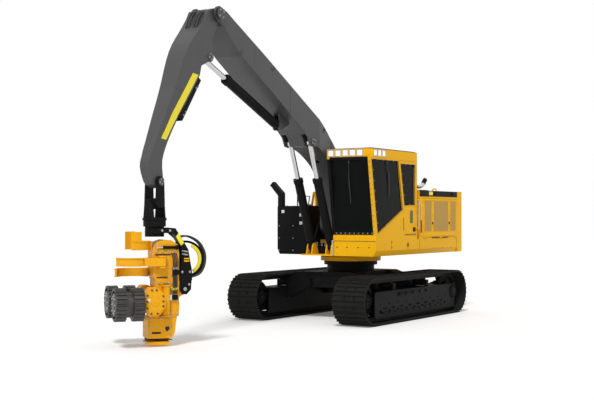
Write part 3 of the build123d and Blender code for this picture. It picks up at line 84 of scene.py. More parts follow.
# Daylight: a bright even sky with one broad sun from the camera's left, high up.
# Camera, gloss and glass see plain white behind the machine.
world = bpy.data.worlds.new("studio")
bpy.context.scene.world = world
world.use_nodes = True
sky = world.node_tree
background = sky.nodes["Background"]
path = sky.nodes.new("ShaderNodeLightPath")
seen = sky.nodes.new("ShaderNodeMath")
seen.operation = "MAXIMUM"
strength = sky.nodes.new("ShaderNodeMix")
strength.data_type = "FLOAT"
strength.inputs["A"].default_value = 0.5
strength.inputs["B"].default_value = 1.0
shown = sky.nodes.new("ShaderNodeMath")
shown.operation = "MAXIMUM"
sky.links.new(path.outputs["Is Camera Ray"], seen.inputs[0])
sky.links.new(path.outputs["Is Transmission Ray"], seen.inputs[1])
sky.links.new(seen.outputs[0], shown.inputs[0])
sky.links.new(path.outputs["Is Glossy Ray"], shown.inputs[1])
sky.links.new(shown.outputs[0], strength.inputs["Factor"])
sky.links.new(strength.outputs["Result"], background.inputs["Strength"])
background.inputs["Color"].default_value = (1, 1, 1, 1)
sun_data = bpy.data.lights.new("sun", "SUN")
sun_data.energy = 2.0
sun_data.angle = math.radians(12)
sun = bpy.data.objects.new("sun", sun_data)
sun.rotation_euler = (math.radians(38), math.radians(8), math.radians(100))
bpy.context.scene.collection.objects.link(sun)
bpy.context.scene.view_settings.view_transform = "Standard"

# Wear shared by the painted and bare steel: broad fading and fine grime, as a machine has after a few weeks
# of work.
# Each finish sets its own colours and amounts.
wear_group = bpy.data.node_groups.new("weathering", "ShaderNodeTree")
for socket, kind, value in (("Clean", "NodeSocketColor", (0.8, 0.5, 0.02, 1)),
                            ("Faded", "NodeSocketColor", (0.8, 0.5, 0.1, 1)),
                            ("Grime", "NodeSocketColor", (0.1, 0.08, 0.06, 1)),
                            ("Grime Amount", "NodeSocketFloat", 0.2),
                            ("Scale", "NodeSocketFloat", 3.0), ("Roughness Low", "NodeSocketFloat", 0.3),
                            ("Roughness High", "NodeSocketFloat", 0.5)):
    made = wear_group.interface.new_socket(name=socket, in_out="INPUT", socket_type=kind)
    made.default_value = value
for socket, kind in (("Color", "NodeSocketColor"), ("Roughness", "NodeSocketFloat"),
                     ("Height", "NodeSocketFloat")):
    wear_group.interface.new_socket(name=socket, in_out="OUTPUT", socket_type=kind)
inside = wear_group.nodes.new("NodeGroupInput")
outside = wear_group.nodes.new("NodeGroupOutput")
place = wear_group.nodes.new("ShaderNodeTexCoord")
broad = wear_group.nodes.new("ShaderNodeTexNoise")
broad.inputs["Detail"].default_value = 5
fine = wear_group.nodes.new("ShaderNodeTexNoise")
fine.inputs["Detail"].default_value = 8
fine_scale = wear_group.nodes.new("ShaderNodeMath")
fine_scale.operation = "MULTIPLY"
fine_scale.inputs[1].default_value = 14
fade = wear_group.nodes.new("ShaderNodeMix")
fade.data_type = "RGBA"
dirt = wear_group.nodes.new("ShaderNodeMix")
dirt.data_type = "RGBA"
dirt_mask = wear_group.nodes.new("ShaderNodeMapRange")
dirt_mask.inputs["From Min"].default_value = 0.52
dirt_mask.inputs["From Max"].default_value = 0.78
dirt_amount = wear_group.nodes.new("ShaderNodeMath")
dirt_amount.operation = "MULTIPLY"
gloss = wear_group.nodes.new("ShaderNodeMapRange")
gloss.inputs["From Min"].default_value = 0.3
gloss.inputs["From Max"].default_value = 0.7
for a, b in ((place.outputs["Object"], broad.inputs["Vector"]),
             (place.outputs["Object"], fine.inputs["Vector"]),
             (inside.outputs["Scale"], broad.inputs["Scale"]),
             (inside.outputs["Scale"], fine_scale.inputs[0]),
             (fine_scale.outputs[0], fine.inputs["Scale"]), (inside.outputs["Clean"], fade.inputs["A"]),
             (inside.outputs["Faded"], fade.inputs["B"]), (broad.outputs["Fac"], fade.inputs["Factor"]),
             (fine.outputs["Fac"], dirt_mask.inputs["Value"]),
             (dirt_mask.outputs["Result"], dirt_amount.inputs[0]),
             (inside.outputs["Grime Amount"], dirt_amount.inputs[1]),
             (dirt_amount.outputs[0], dirt.inputs["Factor"]),
             (fade.outputs["Result"], dirt.inputs["A"]), (inside.outputs["Grime"], dirt.inputs["B"]),
             (dirt.outputs["Result"], outside.inputs["Color"]), (fine.outputs["Fac"], gloss.inputs["Value"]),
             (inside.outputs["Roughness Low"], gloss.inputs["To Min"]),
             (inside.outputs["Roughness High"], gloss.inputs["To Max"]),
             (gloss.outputs["Result"], outside.inputs["Roughness"]),
             (fine.outputs["Fac"], outside.inputs["Height"])):
    wear_group.links.new(a, b)


def weathered(name, clean, faded, grime, amount, scale, low, high, metallic=0.0, bump=0.02, coat=0.0,
              sheen=0.5):
    """A finish of one colour with its own share of fading, grime and grain."""
    finish = bpy.data.materials.new(name)
    finish.use_nodes = True
    nodes_in = finish.node_tree.nodes
    links = finish.node_tree.links
    shader = nodes_in["Principled BSDF"]
    group = nodes_in.new("ShaderNodeGroup")
    group.node_tree = wear_group
    for socket, value in (("Clean", (*clean, 1)), ("Faded", (*faded, 1)), ("Grime", (*grime, 1)),
                          ("Grime Amount", amount),
                          ("Scale", scale), ("Roughness Low", low), ("Roughness High", high)):
        group.inputs[socket].default_value = value
    relief = nodes_in.new("ShaderNodeBump")
    relief.inputs["Strength"].default_value = bump
    relief.inputs["Distance"].default_value = 0.004
    links.new(group.outputs["Color"], shader.inputs["Base Color"])
    links.new(group.outputs["Roughness"], shader.inputs["Roughness"])
    links.new(group.outputs["Height"], relief.inputs["Height"])
    links.new(relief.outputs["Normal"], shader.inputs["Normal"])
    for socket, value in (("Metallic", metallic), ("Specular IOR Level", sheen), ("Coat Weight", coat),
                          ("Coat Roughness", 0.12)):
        shader.inputs[socket].default_value = value
    return finish


def finished(finish, *names):
    """Gives CAD nodes their finish."""
    for name in names:
        data = nodes[name].data
        data.materials.clear()
        data.materials.append(finish)


# Enamel on the upper works: deep orange yellow, sprayed, with a clear gloss.
# It fades a little in broad patches.
yellow_enamel = weathered("yellow_enamel", (0.87, 0.46, 0.005), (0.81, 0.41, 0.006), (0.30, 0.19, 0.06), 0.16,
                          1.6, 0.34,
                          0.5, bump=0.03, sheen=0.07)
finished(yellow_enamel, "upper_frame", "counterweight", "engine_house", "engine_door", "cab_shell",
         "cab_door", "cab_roof",
         "pump_house", "step_rail", "slew_flange")

# Black satin enamel on the boom and the stick, glossier than on the tank and the undercarriage. Its base
# colour is greyer as painted sunlight and reflection on their lit faces; the paint is the same black.
black_enamel_painted_lit = weathered("black_enamel_painted_lit", (0.036, 0.036, 0.037), (0.052, 0.052, 0.053), (0.09, 0.085, 0.08),
                        0.16, 2.2, 0.36,
                        0.52, bump=0.04, sheen=0.55)
finished(black_enamel_painted_lit, "boom", "stick")
black_enamel = weathered("black_enamel", (0.006, 0.006, 0.0063), (0.011, 0.011, 0.0113), (0.05, 0.045, 0.04),
                         0.16, 2.2, 0.4,
                         0.56, bump=0.04, sheen=0.05)
finished(black_enamel, "stick_guard", "boom_tower", "front_tank", "camera_stalk", "engine_hood",
         "hanging_link",
         "boom_cylinder_barrels", "stick_cylinder_barrel", "carbody", "track_frame_left", "track_frame_right",
         "slew_base",
         "rotator_housing")

# Track steel: dark rolled shoes, paler in random broad patches and fine spots.
# The idlers, sprockets and rollers are of the same steel.
track_steel = weathered("track_steel", (0.010, 0.0097, 0.0095), (0.018, 0.0175, 0.017), (0.06, 0.055, 0.05),
                        0.3, 3.0, 0.45, 0.7,
                        bump=0.15, sheen=0.08)
finished(track_steel, "track_left", "track_right", "track_idlers", "track_sprockets", "track_rollers")

# Orange enamel on the head, a shade redder than the upper works and more worn.
# The tilt bracket above it is black.
head_enamel = weathered("head_enamel", (0.86, 0.42, 0.004), (0.78, 0.35, 0.005), (0.26, 0.13, 0.04), 0.3, 3.0,
                        0.36, 0.52,
                        bump=0.06, sheen=0.2)
finished(head_enamel, "head_frame", "top_knife", "knife_left", "knife_right", "feed_arm_left",
         "feed_arm_right", "saw_box")
finished(black_enamel, "tilt_bracket")

# Bare and hardened steel of the feed rollers and the saw bar.
# With it go the engine's iron, the exhaust's steel and the cylinders' chromed rods.
roller_steel = weathered("roller_steel", (0.05, 0.047, 0.045), (0.10, 0.095, 0.09), (0.05, 0.04, 0.03), 0.5,
                         6.0, 0.34, 0.6,
                         metallic=0.8, bump=0.12)
finished(roller_steel, "feed_roller_left", "feed_roller_right", "saw_bar")
engine_iron = weathered("engine_iron", (0.10, 0.10, 0.10), (0.14, 0.13, 0.12), (0.05, 0.04, 0.03), 0.5, 5.0,
                        0.5, 0.75,
                        metallic=0.3, bump=0.2)
finished(engine_iron, "engine_block")
stack_steel = weathered("stack_steel", (0.45, 0.44, 0.42), (0.32, 0.30, 0.28), (0.08, 0.06, 0.05), 0.5, 7.0,
                        0.25, 0.5,
                        metallic=0.9, bump=0.05)
finished(stack_steel, "exhaust")
rod_chrome = weathered("rod_chrome", (0.62, 0.63, 0.64), (0.55, 0.56, 0.57), (0.4, 0.4, 0.4), 0.1, 5.0, 0.08,
                       0.16,
                       metallic=1.0, bump=0.005)
finished(rod_chrome, "boom_cylinder_rods", "stick_cylinder_rod")

# Cab glazing: thick tinted polycarbonate, nearly black from outside.
# Its roughness varies a little, as wiped panes do.
tinted = bpy.data.materials.new("tinted_glazing")
tinted.use_nodes = True
glaze = tinted.node_tree.nodes["Principled BSDF"]
smear = tinted.node_tree.nodes.new("ShaderNodeTexNoise")
smear.inputs["Scale"].default_value = 5
smear_range = tinted.node_tree.nodes.new("ShaderNodeMapRange")
smear_range.inputs["To Min"].default_value = 0.03
smear_range.inputs["To Max"].default_value = 0.10
smear_place = tinted.node_tree.nodes.new("ShaderNodeTexCoord")
tinted.node_tree.links.new(smear_place.outputs["Object"], smear.inputs["Vector"])
tinted.node_tree.links.new(smear.outputs["Fac"], smear_range.inputs["Value"])
tinted.node_tree.links.new(smear_range.outputs["Result"], glaze.inputs["Roughness"])
glaze.inputs["Base Color"].default_value = (0.014, 0.016, 0.016, 1)
glaze.inputs["Transmission Weight"].default_value = 0.7
glaze.inputs["IOR"].default_value = 1.12
finished(tinted, "door_glass", "side_glass", "front_glass", "rear_glass")

# Lamps in the roof: clear lens over a bright bowl.
# They glow faintly, so that they read as lamps by day.
lamp_lens = weathered("lamp_lens", (0.85, 0.85, 0.82), (0.75, 0.76, 0.76), (0.5, 0.5, 0.5), 0.2, 20.0, 0.05,
                      0.12, bump=0.05)
lamp_lens.node_tree.nodes["Principled BSDF"].inputs["Emission Color"].default_value = (1, 1, 0.97, 1)
lamp_lens.node_tree.nodes["Principled BSDF"].inputs["Emission Strength"].default_value = 0.35
finished(lamp_lens, "work_lamps")

# Seat cloth and the moulded plastic of the cab's inside.
# Both are dark grey; the plastic is also on the seat's base and the arm pods.
seat_cloth = weathered("seat_cloth", (0.03, 0.03, 0.033), (0.05, 0.05, 0.055), (0.09, 0.08, 0.07), 0.3, 30.0,
                       0.8, 0.95,
                       bump=0.4)
cab_plastic = weathered("cab_plastic", (0.03, 0.03, 0.03), (0.045, 0.045, 0.045), (0.09, 0.08, 0.07), 0.3,
                        12.0, 0.55, 0.7,
                        bump=0.15)
finished(cab_plastic, "seat_base", "arm_pods")

# Seat: foam squab and backrest under cloth on the sprung base, sewn with a channel across each.
# It takes the place of the plain blocks that stand for it.
seat_low, seat_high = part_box("seat")


def upholstered(name, low, high, lean, crown):
    """A stuffed block: rounded by subdivision, crowned in the middle and creased along two seams."""
    bpy.ops.object.select_all(action="DESELECT")
    bpy.ops.mesh.primitive_cube_add(size=1, location=(0, 0, 0))
    pad = bpy.context.object
    pad.name = name
    pad.scale = high - low
    bpy.ops.object.transform_apply(location=False, rotation=False, scale=True)
    bpy.ops.object.mode_set(mode="EDIT")
    bpy.ops.mesh.select_all(action="SELECT")
    bpy.ops.mesh.subdivide(number_cuts=9)
    bpy.ops.object.mode_set(mode="OBJECT")
    half = (high - low) / 2
    thin = min(range(3), key=lambda axis: half[axis])
    for point in pad.data.vertices:
        share = [point.co[axis] / half[axis] for axis in range(3)]
        flat = [share[axis] for axis in range(3) if axis != thin]
        swell = (1 - flat[0] ** 4) * (1 - flat[1] ** 4)
        seam = min(abs(abs(share[1]) - 0.62), abs(flat[0] if thin != 1 else flat[1]) + 0.3)
        groove = 0.006 * math.exp(-(seam / 0.05) ** 2)
        side = 1 if share[thin] > 0 else -1
        point.co[thin] += side * (crown * (swell - 0.6) - groove)
        for axis in range(3):
            if axis != thin:
                point.co[axis] *= 1 - 0.10 * abs(share[thin]) ** 2 * abs(share[axis]) ** 3
    rounded = pad.modifiers.new("foam", "SUBSURF")
    rounded.levels = 1
    rounded.render_levels = 1
    bpy.ops.object.modifier_apply(modifier="foam")
    pad.rotation_euler = (0, lean, 0)
    pad.location = (low + high) / 2
    bpy.ops.object.transform_apply(location=True, rotation=True, scale=True)
    bpy.ops.object.shade_smooth()
    pad.data.materials.append(seat_cloth)
    return pad


squab = upholstered("seat_squab", Vector((seat_low.x + 0.13, seat_low.y, seat_low.z + 0.005)),
                    Vector((seat_high.x - 0.01, seat_high.y, seat_low.z + 0.125)), 0, 0.016)
backrest = upholstered("seat_backrest", Vector((seat_low.x + 0.06, seat_low.y + 0.02, seat_low.z + 0.14)),
                       Vector((seat_low.x + 0.17, seat_high.y - 0.02, seat_high.z - 0.09)), math.radians(-9),
                       0.014)
for pad in (squab, backrest):
    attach(pad, "upper")
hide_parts("seat")


# Roof cap and lamp bezels: a black lid over the yellow band, and a square pale alloy frame round
# each lamp, with the bright bowl behind its lens.
def at(x, y, z):
    """Place in the scene of a point in millimetres from the slew axis, the left and the ground."""
    return Vector((x / 1000 + axis_x, y / 1000, z / 1000))


def open_faces(piece, facing):
    """Opens a piece in edit mode with only those faces selected that look one way."""
    bpy.ops.object.mode_set(mode="EDIT")
    bpy.ops.mesh.select_mode(type="FACE")
    bpy.ops.mesh.select_all(action="DESELECT")
    bpy.ops.object.mode_set(mode="OBJECT")
    for face in piece.data.polygons:
        face.select = face.normal.dot(Vector(facing)) > 0.9
    bpy.ops.object.mode_set(mode="EDIT")


def slab(name, low, high, facing=None, border=0.0, lift=0.0, edge=0.003):
    """A plate or box with softened edges, whose one face may carry a pressed panel."""
    bpy.ops.object.select_all(action="DESELECT")
    bpy.ops.mesh.primitive_cube_add(size=1, location=(low + high) / 2)
    piece = bpy.context.object
    piece.name = name
    piece.scale = [max(abs(size), 0.0004) for size in (high - low)]
    bpy.ops.object.transform_apply(location=True, rotation=True, scale=True)
    if facing is not None:
        open_faces(piece, facing)
        bpy.ops.mesh.inset(thickness=border, depth=lift)
        bpy.ops.object.mode_set(mode="OBJECT")
    return softened(piece, edge)


def softened(piece, edge, segments=2):
    """Rolls a piece's sharp edges and smooths what lies between them."""
    rolled = piece.modifiers.new("edge", "BEVEL")
    rolled.width = edge
    rolled.segments = segments
    rolled.limit_method = "ANGLE"
    bpy.ops.object.modifier_apply(modifier="edge")
    bpy.ops.object.shade_smooth_by_angle(angle=math.radians(35))
    return piece


def fitted(piece, finish, body):
    """Paints a piece and fixes it to what carries it."""
    piece.data.materials.clear()
    piece.data.materials.append(finish)
    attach(piece, body)
    return piece


def joined(name, pieces):
    """Makes one piece of several, each already in its place."""
    bpy.ops.object.select_all(action="DESELECT")
    for piece in pieces:
        piece.select_set(True)
    bpy.context.view_layer.objects.active = pieces[0]
    if len(pieces) > 1:
        bpy.ops.object.join()
    whole = bpy.context.object
    whole.name = name
    bpy.ops.object.transform_apply(location=True, rotation=True, scale=True)
    return whole


def alone(piece):
    """Selects one piece and nothing else."""
    bpy.ops.object.select_all(action="DESELECT")
    piece.select_set(True)
    bpy.context.view_layer.objects.active = piece


def meshed(name, path):
    """Turns a drawn line or outline into a piece of its own."""
    piece = bpy.data.objects.new(name, path)
    bpy.context.scene.collection.objects.link(piece)
    alone(piece)
    bpy.ops.object.convert(target="MESH")
    return bpy.context.object


def trim(name, corners, thick, cyclic=True):
    """Half-round strip that follows a line of corners."""
    path = bpy.data.curves.new(name, "CURVE")
    path.dimensions = "3D"
    run = path.splines.new("POLY")
    run.points.add(len(corners) - 1)
    for point, corner in zip(run.points, corners):
        point.co = (*corner, 1)
    run.use_cyclic_u = cyclic
    path.bevel_depth = thick
    path.bevel_resolution = 2
    path.use_fill_caps = not cyclic
    piece = meshed(name, path)
    bpy.ops.object.shade_smooth_by_angle(angle=math.radians(40))
    return piece


cap = slab("roof_cap", at(-545, 375, 3722), at(1500, 1395, 3734), (0, 0, 1), 0.05, 0.012, 0.006)
fitted(cap, black_enamel, "upper")
lamp_z = 3635
square = ((-76, -72), (76, -72), (76, 72), (-76, 72))
bezels = [trim("bezel", [at(1653, y + side, lamp_z + rise) for side, rise in square], 0.009)
          for y in range(455, 1168, 178)]
bezels += [trim("bezel", [at(x + side, 1420, lamp_z + rise) for side, rise in square], 0.009)
           for x in (1410, 1220, 1030)]
lamp_alloy = weathered("lamp_alloy", (0.62, 0.60, 0.52), (0.5, 0.48, 0.4), (0.3, 0.25, 0.15), 0.25, 9.0, 0.3,
                       0.5, 0.3)
fitted(joined("lamp_bezels", bezels), lamp_alloy, "upper")


# Glazing frames: black pressed strips that clamp the thick panes, held by rows of small
# button-head screws. The strip over the right post and under the screen is wide and black.
def bolts(name, places, outward, size, head=6):
    """Bolt heads on their washers at each place, facing one way or each its own."""
    bpy.ops.object.select_all(action="DESELECT")
    bpy.ops.mesh.primitive_cylinder_add(vertices=head, radius=size / 2, depth=size * 0.5,
                                        location=(0, 0, size * 0.35))
    top = bpy.context.object
    open_faces(top, (0, 0, 1))
    bpy.ops.mesh.inset(thickness=size * 0.08, depth=size * 0.05)
    bpy.ops.object.mode_set(mode="OBJECT")
    bpy.ops.mesh.primitive_cylinder_add(vertices=12, radius=size * 0.72, depth=size * 0.12,
                                        location=(0, 0, size * 0.05))
    washer = bpy.context.object
    model = joined(name, [top, washer])
    headings = outward if isinstance(outward, list) else [outward] * len(places)
    copies = []
    for place, heading in zip(places, headings):
        turn = Vector((0, 0, 1)).rotation_difference(Vector(heading)).to_matrix().to_4x4()
        copy = model.copy()
        copy.data = model.data.copy()
        copy.matrix_world = Matrix.Translation(place) @ turn
        bpy.context.scene.collection.objects.link(copy)
        copies.append(copy)
    bpy.data.objects.remove(model)
    return joined(name, copies)


def spaced(start, end, count):
    """Places in a row from one point to another."""
    return [start.lerp(end, step / max(count - 1, 1)) for step in range(count)]


def screen_x(z):
    """Forward edge of the cab at a height, as the screen leans forward."""
    return 1390 + 260 * (z - 1880) / 1670


def waist_post(z):
    """Forward edge of the door at a height."""
    return 110 if z < 2420 else 110 + 220 * (z - 2420) / 1130


side_line = [(screen_x(1920) - 90, 1920), (screen_x(3490) - 60, 3490), (waist_post(3490) + 60, 3490),
             (170, 2430)]
door_line = [(-430, 2540), (-160, 2540), (waist_post(2480) - 60, 2520), (waist_post(3440) - 60, 3440),
             (-430, 3440)]
frames = [trim("strip", [at(x, 1420, z) for x, z in side_line], 0.007),
          trim("strip", [at(x, 357, z) for x, z in side_line], 0.007),
          trim("strip", [at(-563, y, z) for y, z in ((480, 2540), (1297, 2540), (1297, 3490), (480, 3490))],
               0.007)]
bpy.ops.object.select_all(action="DESELECT")
bpy.ops.mesh.primitive_cube_add(size=1, location=at(1392, 390, 1890))
strip = bpy.context.object
strip.name = "strip"
strip.scale = (0.012, 0.068, 0.02)
bpy.ops.object.transform_apply(location=True, rotation=True, scale=True)
open_faces(strip, (0, 0, 1))
bpy.ops.mesh.extrude_region_move(TRANSFORM_OT_translate={"value": (0.2506, 0, 1.61)})
bpy.ops.object.mode_set(mode="OBJECT")
frames.append(softened(strip, 0.003))
frames.append(slab("strip", at(1391, 424, 1884), at(1397, 1357, 1944), (1, 0, 0), 0.012, 0.002))
frames.append(slab("strip", at(1632, 424, 3480), at(1655, 1357, 3545), (1, 0, 0), 0.012, 0.002))
fitted(joined("glazing_frames", frames), black_enamel, "upper")
door_frame = trim("door_glazing_frame", [at(x, 1420, z) for x, z in door_line], 0.007)
fitted(door_frame, black_enamel, "operator_door")

screw_pitch = 190
screws = spaced(at(1398, 450, 1914), at(1398, 1330, 1914), 9)
screws += spaced(at(screen_x(1960) + 3, 1387, 1960), at(screen_x(3440) + 3, 1387, 3440), 14)
screw_steel = weathered("screw_steel", (0.42, 0.42, 0.42), (0.3, 0.3, 0.3), (0.08, 0.07, 0.06), 0.5, 20.0,
                        0.3, 0.5, 0.9)
fitted(bolts("screen_screws", screws, (1, 0, -0.156), 0.022, 8), screw_steel, "upper")
for name, line, body in (("side_screws", side_line, "upper"), ("door_screws", door_line, "operator_door")):
    screws = []
    for (x, z), (next_x, next_z) in zip(line, line[1:] + line[:1]):
        count = max(2, round(math.hypot(next_x - x, next_z - z) / screw_pitch))
        screws += spaced(at(x, 1424, z), at(next_x, 1424, next_z), count)[:-1]
    fitted(bolts(name, screws, (0, 1, 0), 0.02, 8), screw_steel, body)

# Wipers on the screen and the left pane: black arms with rubber blades, parked upright.
# Each turns on a round knob at the top of its pane.
rubber = weathered("rubber", (0.02, 0.02, 0.02), (0.035, 0.034, 0.033), (0.1, 0.09, 0.08), 0.3, 15.0, 0.6,
                   0.85)
for name, pivot, tip, blade_low, blade_high in (
        ("screen_wiper", at(screen_x(3440) + 16, 900, 3440), at(screen_x(2900) + 14, 860, 2900),
         at(screen_x(3180) + 11, 872, 3180), at(screen_x(2560) + 11, 872, 2560)),
        ("side_wiper", at(900, 1432, 3440), at(800, 1430, 2980), at(806, 1428, 3230), at(806, 1428, 2730))):
    arm = trim(name, [pivot, tip], 0.006, False)
    blade = trim("blade", [blade_low, blade_high], 0.009, False)
    bpy.ops.object.select_all(action="DESELECT")
    bpy.ops.mesh.primitive_uv_sphere_add(segments=16, ring_count=8, radius=0.024, location=pivot)
    knob = bpy.context.object
    knob.scale = (0.5, 1, 1) if name == "screen_wiper" else (1, 0.5, 1)
    fitted(joined(name, [arm, blade, knob]), rubber, "upper")

# Door furniture: a black pull handle in a dished plate, a key lock and an olive vent of thin
# louvres. The lower panel is a separate plate with a shadow gap.
handle = [slab("plate", at(-450, 1417, 1935), at(-350, 1423, 2035), (0, 1, 0), 0.012, -0.003),
          trim("grip", [at(-435, 1424, 1955), at(-435, 1452, 1960), at(-435, 1452, 2012),
                        at(-435, 1424, 2018)], 0.008, False)]
bpy.ops.object.select_all(action="DESELECT")
bpy.ops.mesh.primitive_cylinder_add(vertices=20, radius=0.018, depth=0.016, location=at(-380, 1428, 1985),
                                    rotation=(math.radians(90), 0, 0))
handle.append(softened(bpy.context.object, 0.003))
fitted(joined("door_handle", handle), black_enamel, "operator_door")
louvres = [slab("louvre", at(-345, 1417, 2140 + number * 26), at(-205, 1424, 2152 + number * 26), edge=0.002)
           for number in range(10)]
louvres.append(slab("louvre", at(-352, 1416.5, 2128), at(-198, 1419, 2412), (0, 1, 0), 0.006, -0.001))
olive_gauze = weathered("olive_gauze", (0.20, 0.17, 0.03), (0.14, 0.12, 0.03), (0.06, 0.05, 0.03), 0.5, 60.0,
                        0.5, 0.7)
fitted(joined("door_vent", louvres), olive_gauze, "operator_door")
seams = [trim("seam", [at(106, 1419, 1975), at(106, 1419, 2240)], 0.006, False),
         slab("seam", at(-490, 1417, 1872), at(40, 1422, 1886), edge=0.002)]
# Near black for real dark panel joints, and laid in holes, slots, louvres and gaps as painted shade.
seam_dark_and_painted_shade = weathered("seam_dark_and_painted_shade", (0.012, 0.01, 0.008), (0.02, 0.016, 0.012), (0.05, 0.04, 0.03), 0.2, 9.0,
                     0.7, 0.9)
fitted(joined("door_seams", seams), seam_dark_and_painted_shade, "operator_door")

# Grab rails: bent alloy tube beside the screen and up the cab's rear corner, with feet in the
# cab's wall.
rails = [trim("rail", [at(1402, 378, 1750), at(1440, 366, 1750), at(1440, 366, 1440), at(1392, 378, 1440)],
              0.013, False),
         trim("rail", [at(-540, 1440, 2000), at(-600, 1440, 2020), at(-600, 1440, 2640),
                       at(-540, 1440, 2660)], 0.013, False)]
fitted(joined("grab_rails", rails), lamp_alloy, "upper")

# Engine door grilles: panels of fine expanded mesh in pressed frames, ochre from dust. The mesh's holes are
# painted dark, painted shade of the door's own slots behind them. The gas strut beside them is red and
# silver.
mesh_paint = bpy.data.materials.new("ochre_mesh")
mesh_paint.use_nodes = True
tree = mesh_paint.node_tree
shader = tree.nodes["Principled BSDF"]
place = tree.nodes.new("ShaderNodeTexCoord")
waves_x = tree.nodes.new("ShaderNodeTexWave")
waves_x.bands_direction = "X"
waves_x.inputs["Scale"].default_value = 24
waves_z = tree.nodes.new("ShaderNodeTexWave")
waves_z.bands_direction = "Z"
waves_z.inputs["Scale"].default_value = 24
both = tree.nodes.new("ShaderNodeMath")
both.operation = "MULTIPLY"
# Mask of the mesh's holes, which take the painted shade.
hole = tree.nodes.new("ShaderNodeMapRange")
hole.inputs["From Min"].default_value = 0.25
hole.inputs["From Max"].default_value = 0.6
mesh_colour_and_hole_shade = tree.nodes.new("ShaderNodeMix")
mesh_colour_and_hole_shade.data_type = "RGBA"
mesh_colour_and_hole_shade.inputs["A"].default_value = (0.52, 0.30, 0.035, 1)
mesh_colour_and_hole_shade.inputs["B"].default_value = (0.24, 0.14, 0.03, 1)
cloud = tree.nodes.new("ShaderNodeTexNoise")
cloud.inputs["Scale"].default_value = 2.5
pressed = tree.nodes.new("ShaderNodeBump")
pressed.inputs["Distance"].default_value = 0.003
pressed.inputs["Strength"].default_value = 0.6
for a, b in ((place.outputs["Object"], waves_x.inputs["Vector"]),
             (place.outputs["Object"], waves_z.inputs["Vector"]),
             (place.outputs["Object"], cloud.inputs["Vector"]),
             (waves_x.outputs["Fac"], both.inputs[0]), (waves_z.outputs["Fac"], both.inputs[1]),
             (both.outputs[0], hole.inputs["Value"]), (hole.outputs["Result"], mesh_colour_and_hole_shade.inputs["Factor"]),
             (mesh_colour_and_hole_shade.outputs["Result"], shader.inputs["Base Color"]),
             (both.outputs[0], pressed.inputs["Height"]),
             (pressed.outputs["Normal"], shader.inputs["Normal"])):
    tree.links.new(a, b)
shader.inputs["Roughness"].default_value = 0.6
grilles = []
rims = []
for front, rear in ((-960, -1300), (-1440, -2210), (-2350, -2640)):
    grilles.append(slab("grille", at(rear - 12, 1412.5, 1935), at(front + 12, 1416, 2640), (0, 1, 0), 0.01,
                        0.002, 0.001))
    low, high = at(rear - 16, 1414, 1931), at(front + 16, 1414, 2644)
    corners = []
    for x, z, turn in ((low.x, low.z, 180), (high.x, low.z, 270), (high.x, high.z, 0), (low.x, high.z, 90)):
        centre = Vector((x + (0.04 if x == low.x else -0.04), low.y, z + (0.04 if z == low.z else -0.04)))
        for step in range(5):
            angle = math.radians(turn + step * 22.5)
            corners.append(centre + Vector((0.04 * math.cos(angle), 0, 0.04 * math.sin(angle))))
    rims.append(trim("rim", corners, 0.007))
fitted(joined("door_grilles", grilles), mesh_paint, "side_door")
fitted(joined("grille_rims", rims), yellow_enamel, "side_door")
quilts = [slab("frame", at(-2690, 1411, 2652), at(-895, 1417, 2688), (0, 1, 0), 0.008, 0.003),
          slab("frame", at(-2690, 1411, 1812), at(-895, 1417, 1915), (0, 1, 0), 0.008, 0.003)]
fitted(joined("door_stiffeners", quilts), yellow_enamel, "side_door")
fitted(bolts("door_bolts", [at(x, 1418, z) for x in (-925, -1370, -2280, -2670) for z in (2000, 2300, 2600)],
             (0, 1, 0), 0.022),
       yellow_enamel, "side_door")
locks = []
for x in (-1370, -2280):
    bpy.ops.object.select_all(action="DESELECT")
    bpy.ops.mesh.primitive_cylinder_add(vertices=20, radius=0.028, depth=0.012, location=at(x, 1420, 2120),
                                        rotation=(math.radians(90), 0, 0))
    locks.append(softened(bpy.context.object, 0.003))
    locks.append(slab("bar", at(x - 22, 1424, 2114), at(x + 22, 1430, 2126), edge=0.002))
fitted(joined("door_locks", locks), black_enamel, "side_door")

strut_red = weathered("strut_red", (0.35, 0.012, 0.008), (0.28, 0.02, 0.015), (0.1, 0.03, 0.02), 0.3, 9.0,
                      0.3, 0.5)


def tube(name, start, end, radius, sides=20):
    """Straight round bar between two points, with rolled ends."""
    bpy.ops.object.select_all(action="DESELECT")
    along = end - start
    turn = Vector((0, 0, 1)).rotation_difference(along.normalized())
    bpy.ops.mesh.primitive_cylinder_add(vertices=sides, radius=radius, depth=along.length,
                                        location=(start + end) / 2,
                                        rotation=turn.to_euler())
    piece = bpy.context.object
    piece.name = name
    bpy.ops.object.transform_apply(location=True, rotation=True, scale=True)
    return softened(piece, radius * 0.2)


fitted(tube("strut_barrel", at(-768, 1421, 1905), at(-768, 1421, 2190), 0.017), strut_red,
       "upper")
ends = [tube("rod", at(-768, 1421, 2190), at(-768, 1421, 2520), 0.009),
        tube("rod", at(-768, 1421, 1890), at(-768, 1421, 1906), 0.011),
        slab("rod", at(-790, 1411, 2515), at(-746, 1432, 2545)),
        slab("rod", at(-790, 1411, 1862), at(-746, 1432, 1892))]
fitted(joined("strut_rod", ends), rod_chrome, "upper")
# Dark strips at the door's foot: painted shade in the gap under the door.
foot_shade_strips = [slab("shade", at(-2215, 1412, 1768), at(-1330, 1417, 1790), edge=0.002),
          slab("shade", at(-2700, 1412, 1768), at(-2655, 1417, 1790), edge=0.002)]
fitted(joined("door_foot_painted_shade", foot_shade_strips), seam_dark_and_painted_shade, "upper")

